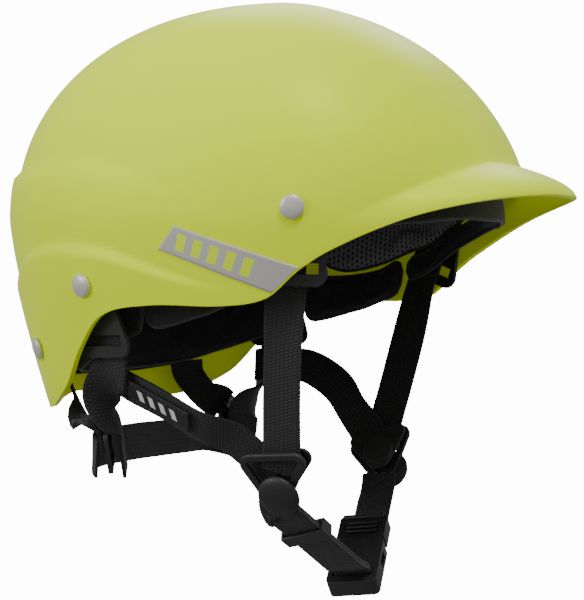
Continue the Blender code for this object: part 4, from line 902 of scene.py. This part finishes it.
band = []
band_down = Vector((0, 0, -1))
for side_name, side in (("right", -1), ("left", 1)):
    lock = Seat(LOCKS[side_name], Vector((-0.437, -side * 0.90, 0)), Vector((0.02, -side * 0.27, -0.96)),
                Vector((0.9, -side * 0.437, 0)))
    rise = LOCK_OFFSET + WEB_THICKNESS / 2
    drop = hanger_web_start("rear_upper_" + side_name) + stations(DROPS[side_name])
    drop += [(lock.at(0, down, rise), lock.across) for down in (-0.0098, -0.0020, 0.0055, 0.0130)]
    add_webbing("drop_tape_" + side_name, drop, "nape_loop", ["drop_strap_" + side_name], steps=12)
    eased_node("ladder_lock_" + side_name, 0.0005, acetal, 3)
    behind = -(LOCK_THICKNESS / 2 + WEB_CLEARANCE + WEB_THICKNESS / 2)
    nape = stations([((-0.0865, side * 0.0590, -0.0720), (0.60, side * 0.80, 0)),
                     ((-0.0845, side * 0.0590, -0.0800), (0.55, side * 0.83, 0)),
                     ((-0.0750, side * 0.0635, -0.0915), (0.50, side * 0.87, 0))])
    nape += [(lock.at(0, down, behind - away), -lock.across)
             for down, away in ((-0.0140, 0.0042), (-0.0096, 0.0004), (0.0005, 0.0))]
    add_webbing("nape_tape_" + side_name, nape, "nape_loop", ["nape_strap_" + side_name])
    layer = -(LOCK_THICKNESS / 2 + 2 * WEB_CLEARANCE + 1.5 * WEB_THICKNESS + 0.0014)
    ends = [(lock.at(-0.0035, 0.0045, layer), band_down),
            (lock.at(0.0125, 0.0045, layer - 0.0015), band_down)]
    if side < 0:
        band = ends + stations([((-0.0680, -0.030, -0.1078), band_down), ((-0.0705, 0.0, -0.1085), band_down),
                                ((-0.0705, 0.030, -0.1090), band_down)])
    else:
        band += ends[::-1]
add_webbing("nape_tape_cross", band, "nape_loop", ["nape_band"])

# ------------------------------------------------------------------ floor, light and camera
# A plain white sweep well below the helmet, lit by broad soft boxes; floor and air shine white to the
# eye, as a back-lit studio table does, and light the helmet softly.
STUDIO_WHITE, STUDIO_LIGHT, FLOOR_LEVEL = 14.0, 0.46, -1.6


def shining(tree, ends_in, lit_shader):
    """Show plain white to the eye and another shader to the light."""
    path = add_node(tree, "ShaderNodeLightPath")
    glow = add_node(tree, "ShaderNodeEmission", {"Color": (1.0, 1.0, 1.0, 1.0), "Strength": STUDIO_WHITE})
    mix = add_node(tree, "ShaderNodeMixShader", {0: path.outputs["Is Camera Ray"], 1: lit_shader,
                                                 2: glow.outputs[0]})
    tree.links.new(mix.outputs[0], ends_in.inputs["Surface"])


paper, tree, shader = new_material("matt paper sweep", "A8A8A8", 0.9)
shining(tree, tree.nodes["Material Output"], shader.outputs[0])
builder = bmesh.new()
bmesh.ops.create_grid(builder, x_segments=1, y_segments=1, size=6.0)
bmesh.ops.translate(builder, verts=builder.verts, vec=(0, 0, FLOOR_LEVEL))
mesh = bpy.data.meshes.new("floor")
builder.to_mesh(mesh)
builder.free()
mesh.materials.append(paper)
floor = bpy.data.objects.new("floor", mesh)
bpy.context.collection.objects.link(floor)

world = bpy.data.worlds.new("studio")
bpy.context.scene.world = world
world.use_nodes = True
air = world.node_tree.nodes["Background"]
air.inputs["Color"].default_value = (1.0, 1.0, 1.0, 1.0)
air.inputs["Strength"].default_value = STUDIO_LIGHT
shining(world.node_tree, world.node_tree.nodes["World Output"], air.outputs[0])


def add_soft_box(name, place, target, size, power):
    light = bpy.data.lights.new(name, "AREA")
    light.shape, light.size, light.energy = "DISK", size, power
    lamp = bpy.data.objects.new(name, light)
    lamp.location = place
    lamp.rotation_mode = "QUATERNION"
    lamp.rotation_quaternion = (Vector(target) - Vector(place)).to_track_quat("-Z", "Y")
    bpy.context.collection.objects.link(lamp)


add_soft_box("key", (0.45, -0.55, 1.20), (0, 0, -0.05), 0.5, 14.0)
add_soft_box("fill", (-0.9, -1.1, 0.30), (0, 0, -0.12), 1.0, 10.0)
add_soft_box("rim", (-0.3, 0.95, 0.75), (0, 0, -0.05), 0.8, 5.0)

CAMERA_TURN, CAMERA_RISE, CAMERA_ROLL = math.radians(25.554), math.radians(-1.077), math.radians(1.029)
CAMERA_DISTANCE, CAMERA_LENS = 0.96971, 119.74
AIM_DOWN, AIM_RIGHT = math.radians(2.203), math.radians(0.119)
back = Vector((math.sin(CAMERA_TURN) * math.cos(CAMERA_RISE), -math.cos(CAMERA_TURN) * math.cos(CAMERA_RISE),
               math.sin(CAMERA_RISE)))
side_ways = Vector((math.cos(CAMERA_TURN), math.sin(CAMERA_TURN), 0))
turn = Matrix((side_ways, back.cross(side_ways), back)).transposed()
turn = turn @ Matrix.Rotation(CAMERA_ROLL, 3, "Z") @ Matrix.Rotation(-AIM_RIGHT, 3, "Y")
turn = turn @ Matrix.Rotation(-AIM_DOWN, 3, "X")
camera = bpy.data.objects.new("camera", bpy.data.cameras.new("camera"))
camera.data.lens, camera.data.sensor_width = CAMERA_LENS, 36.0
camera.matrix_world = Matrix.Translation(back * CAMERA_DISTANCE + Vector((0, 0, -SEAT_DROP))) @ turn.to_4x4()
bpy.context.collection.objects.link(camera)
bpy.context.scene.camera = camera
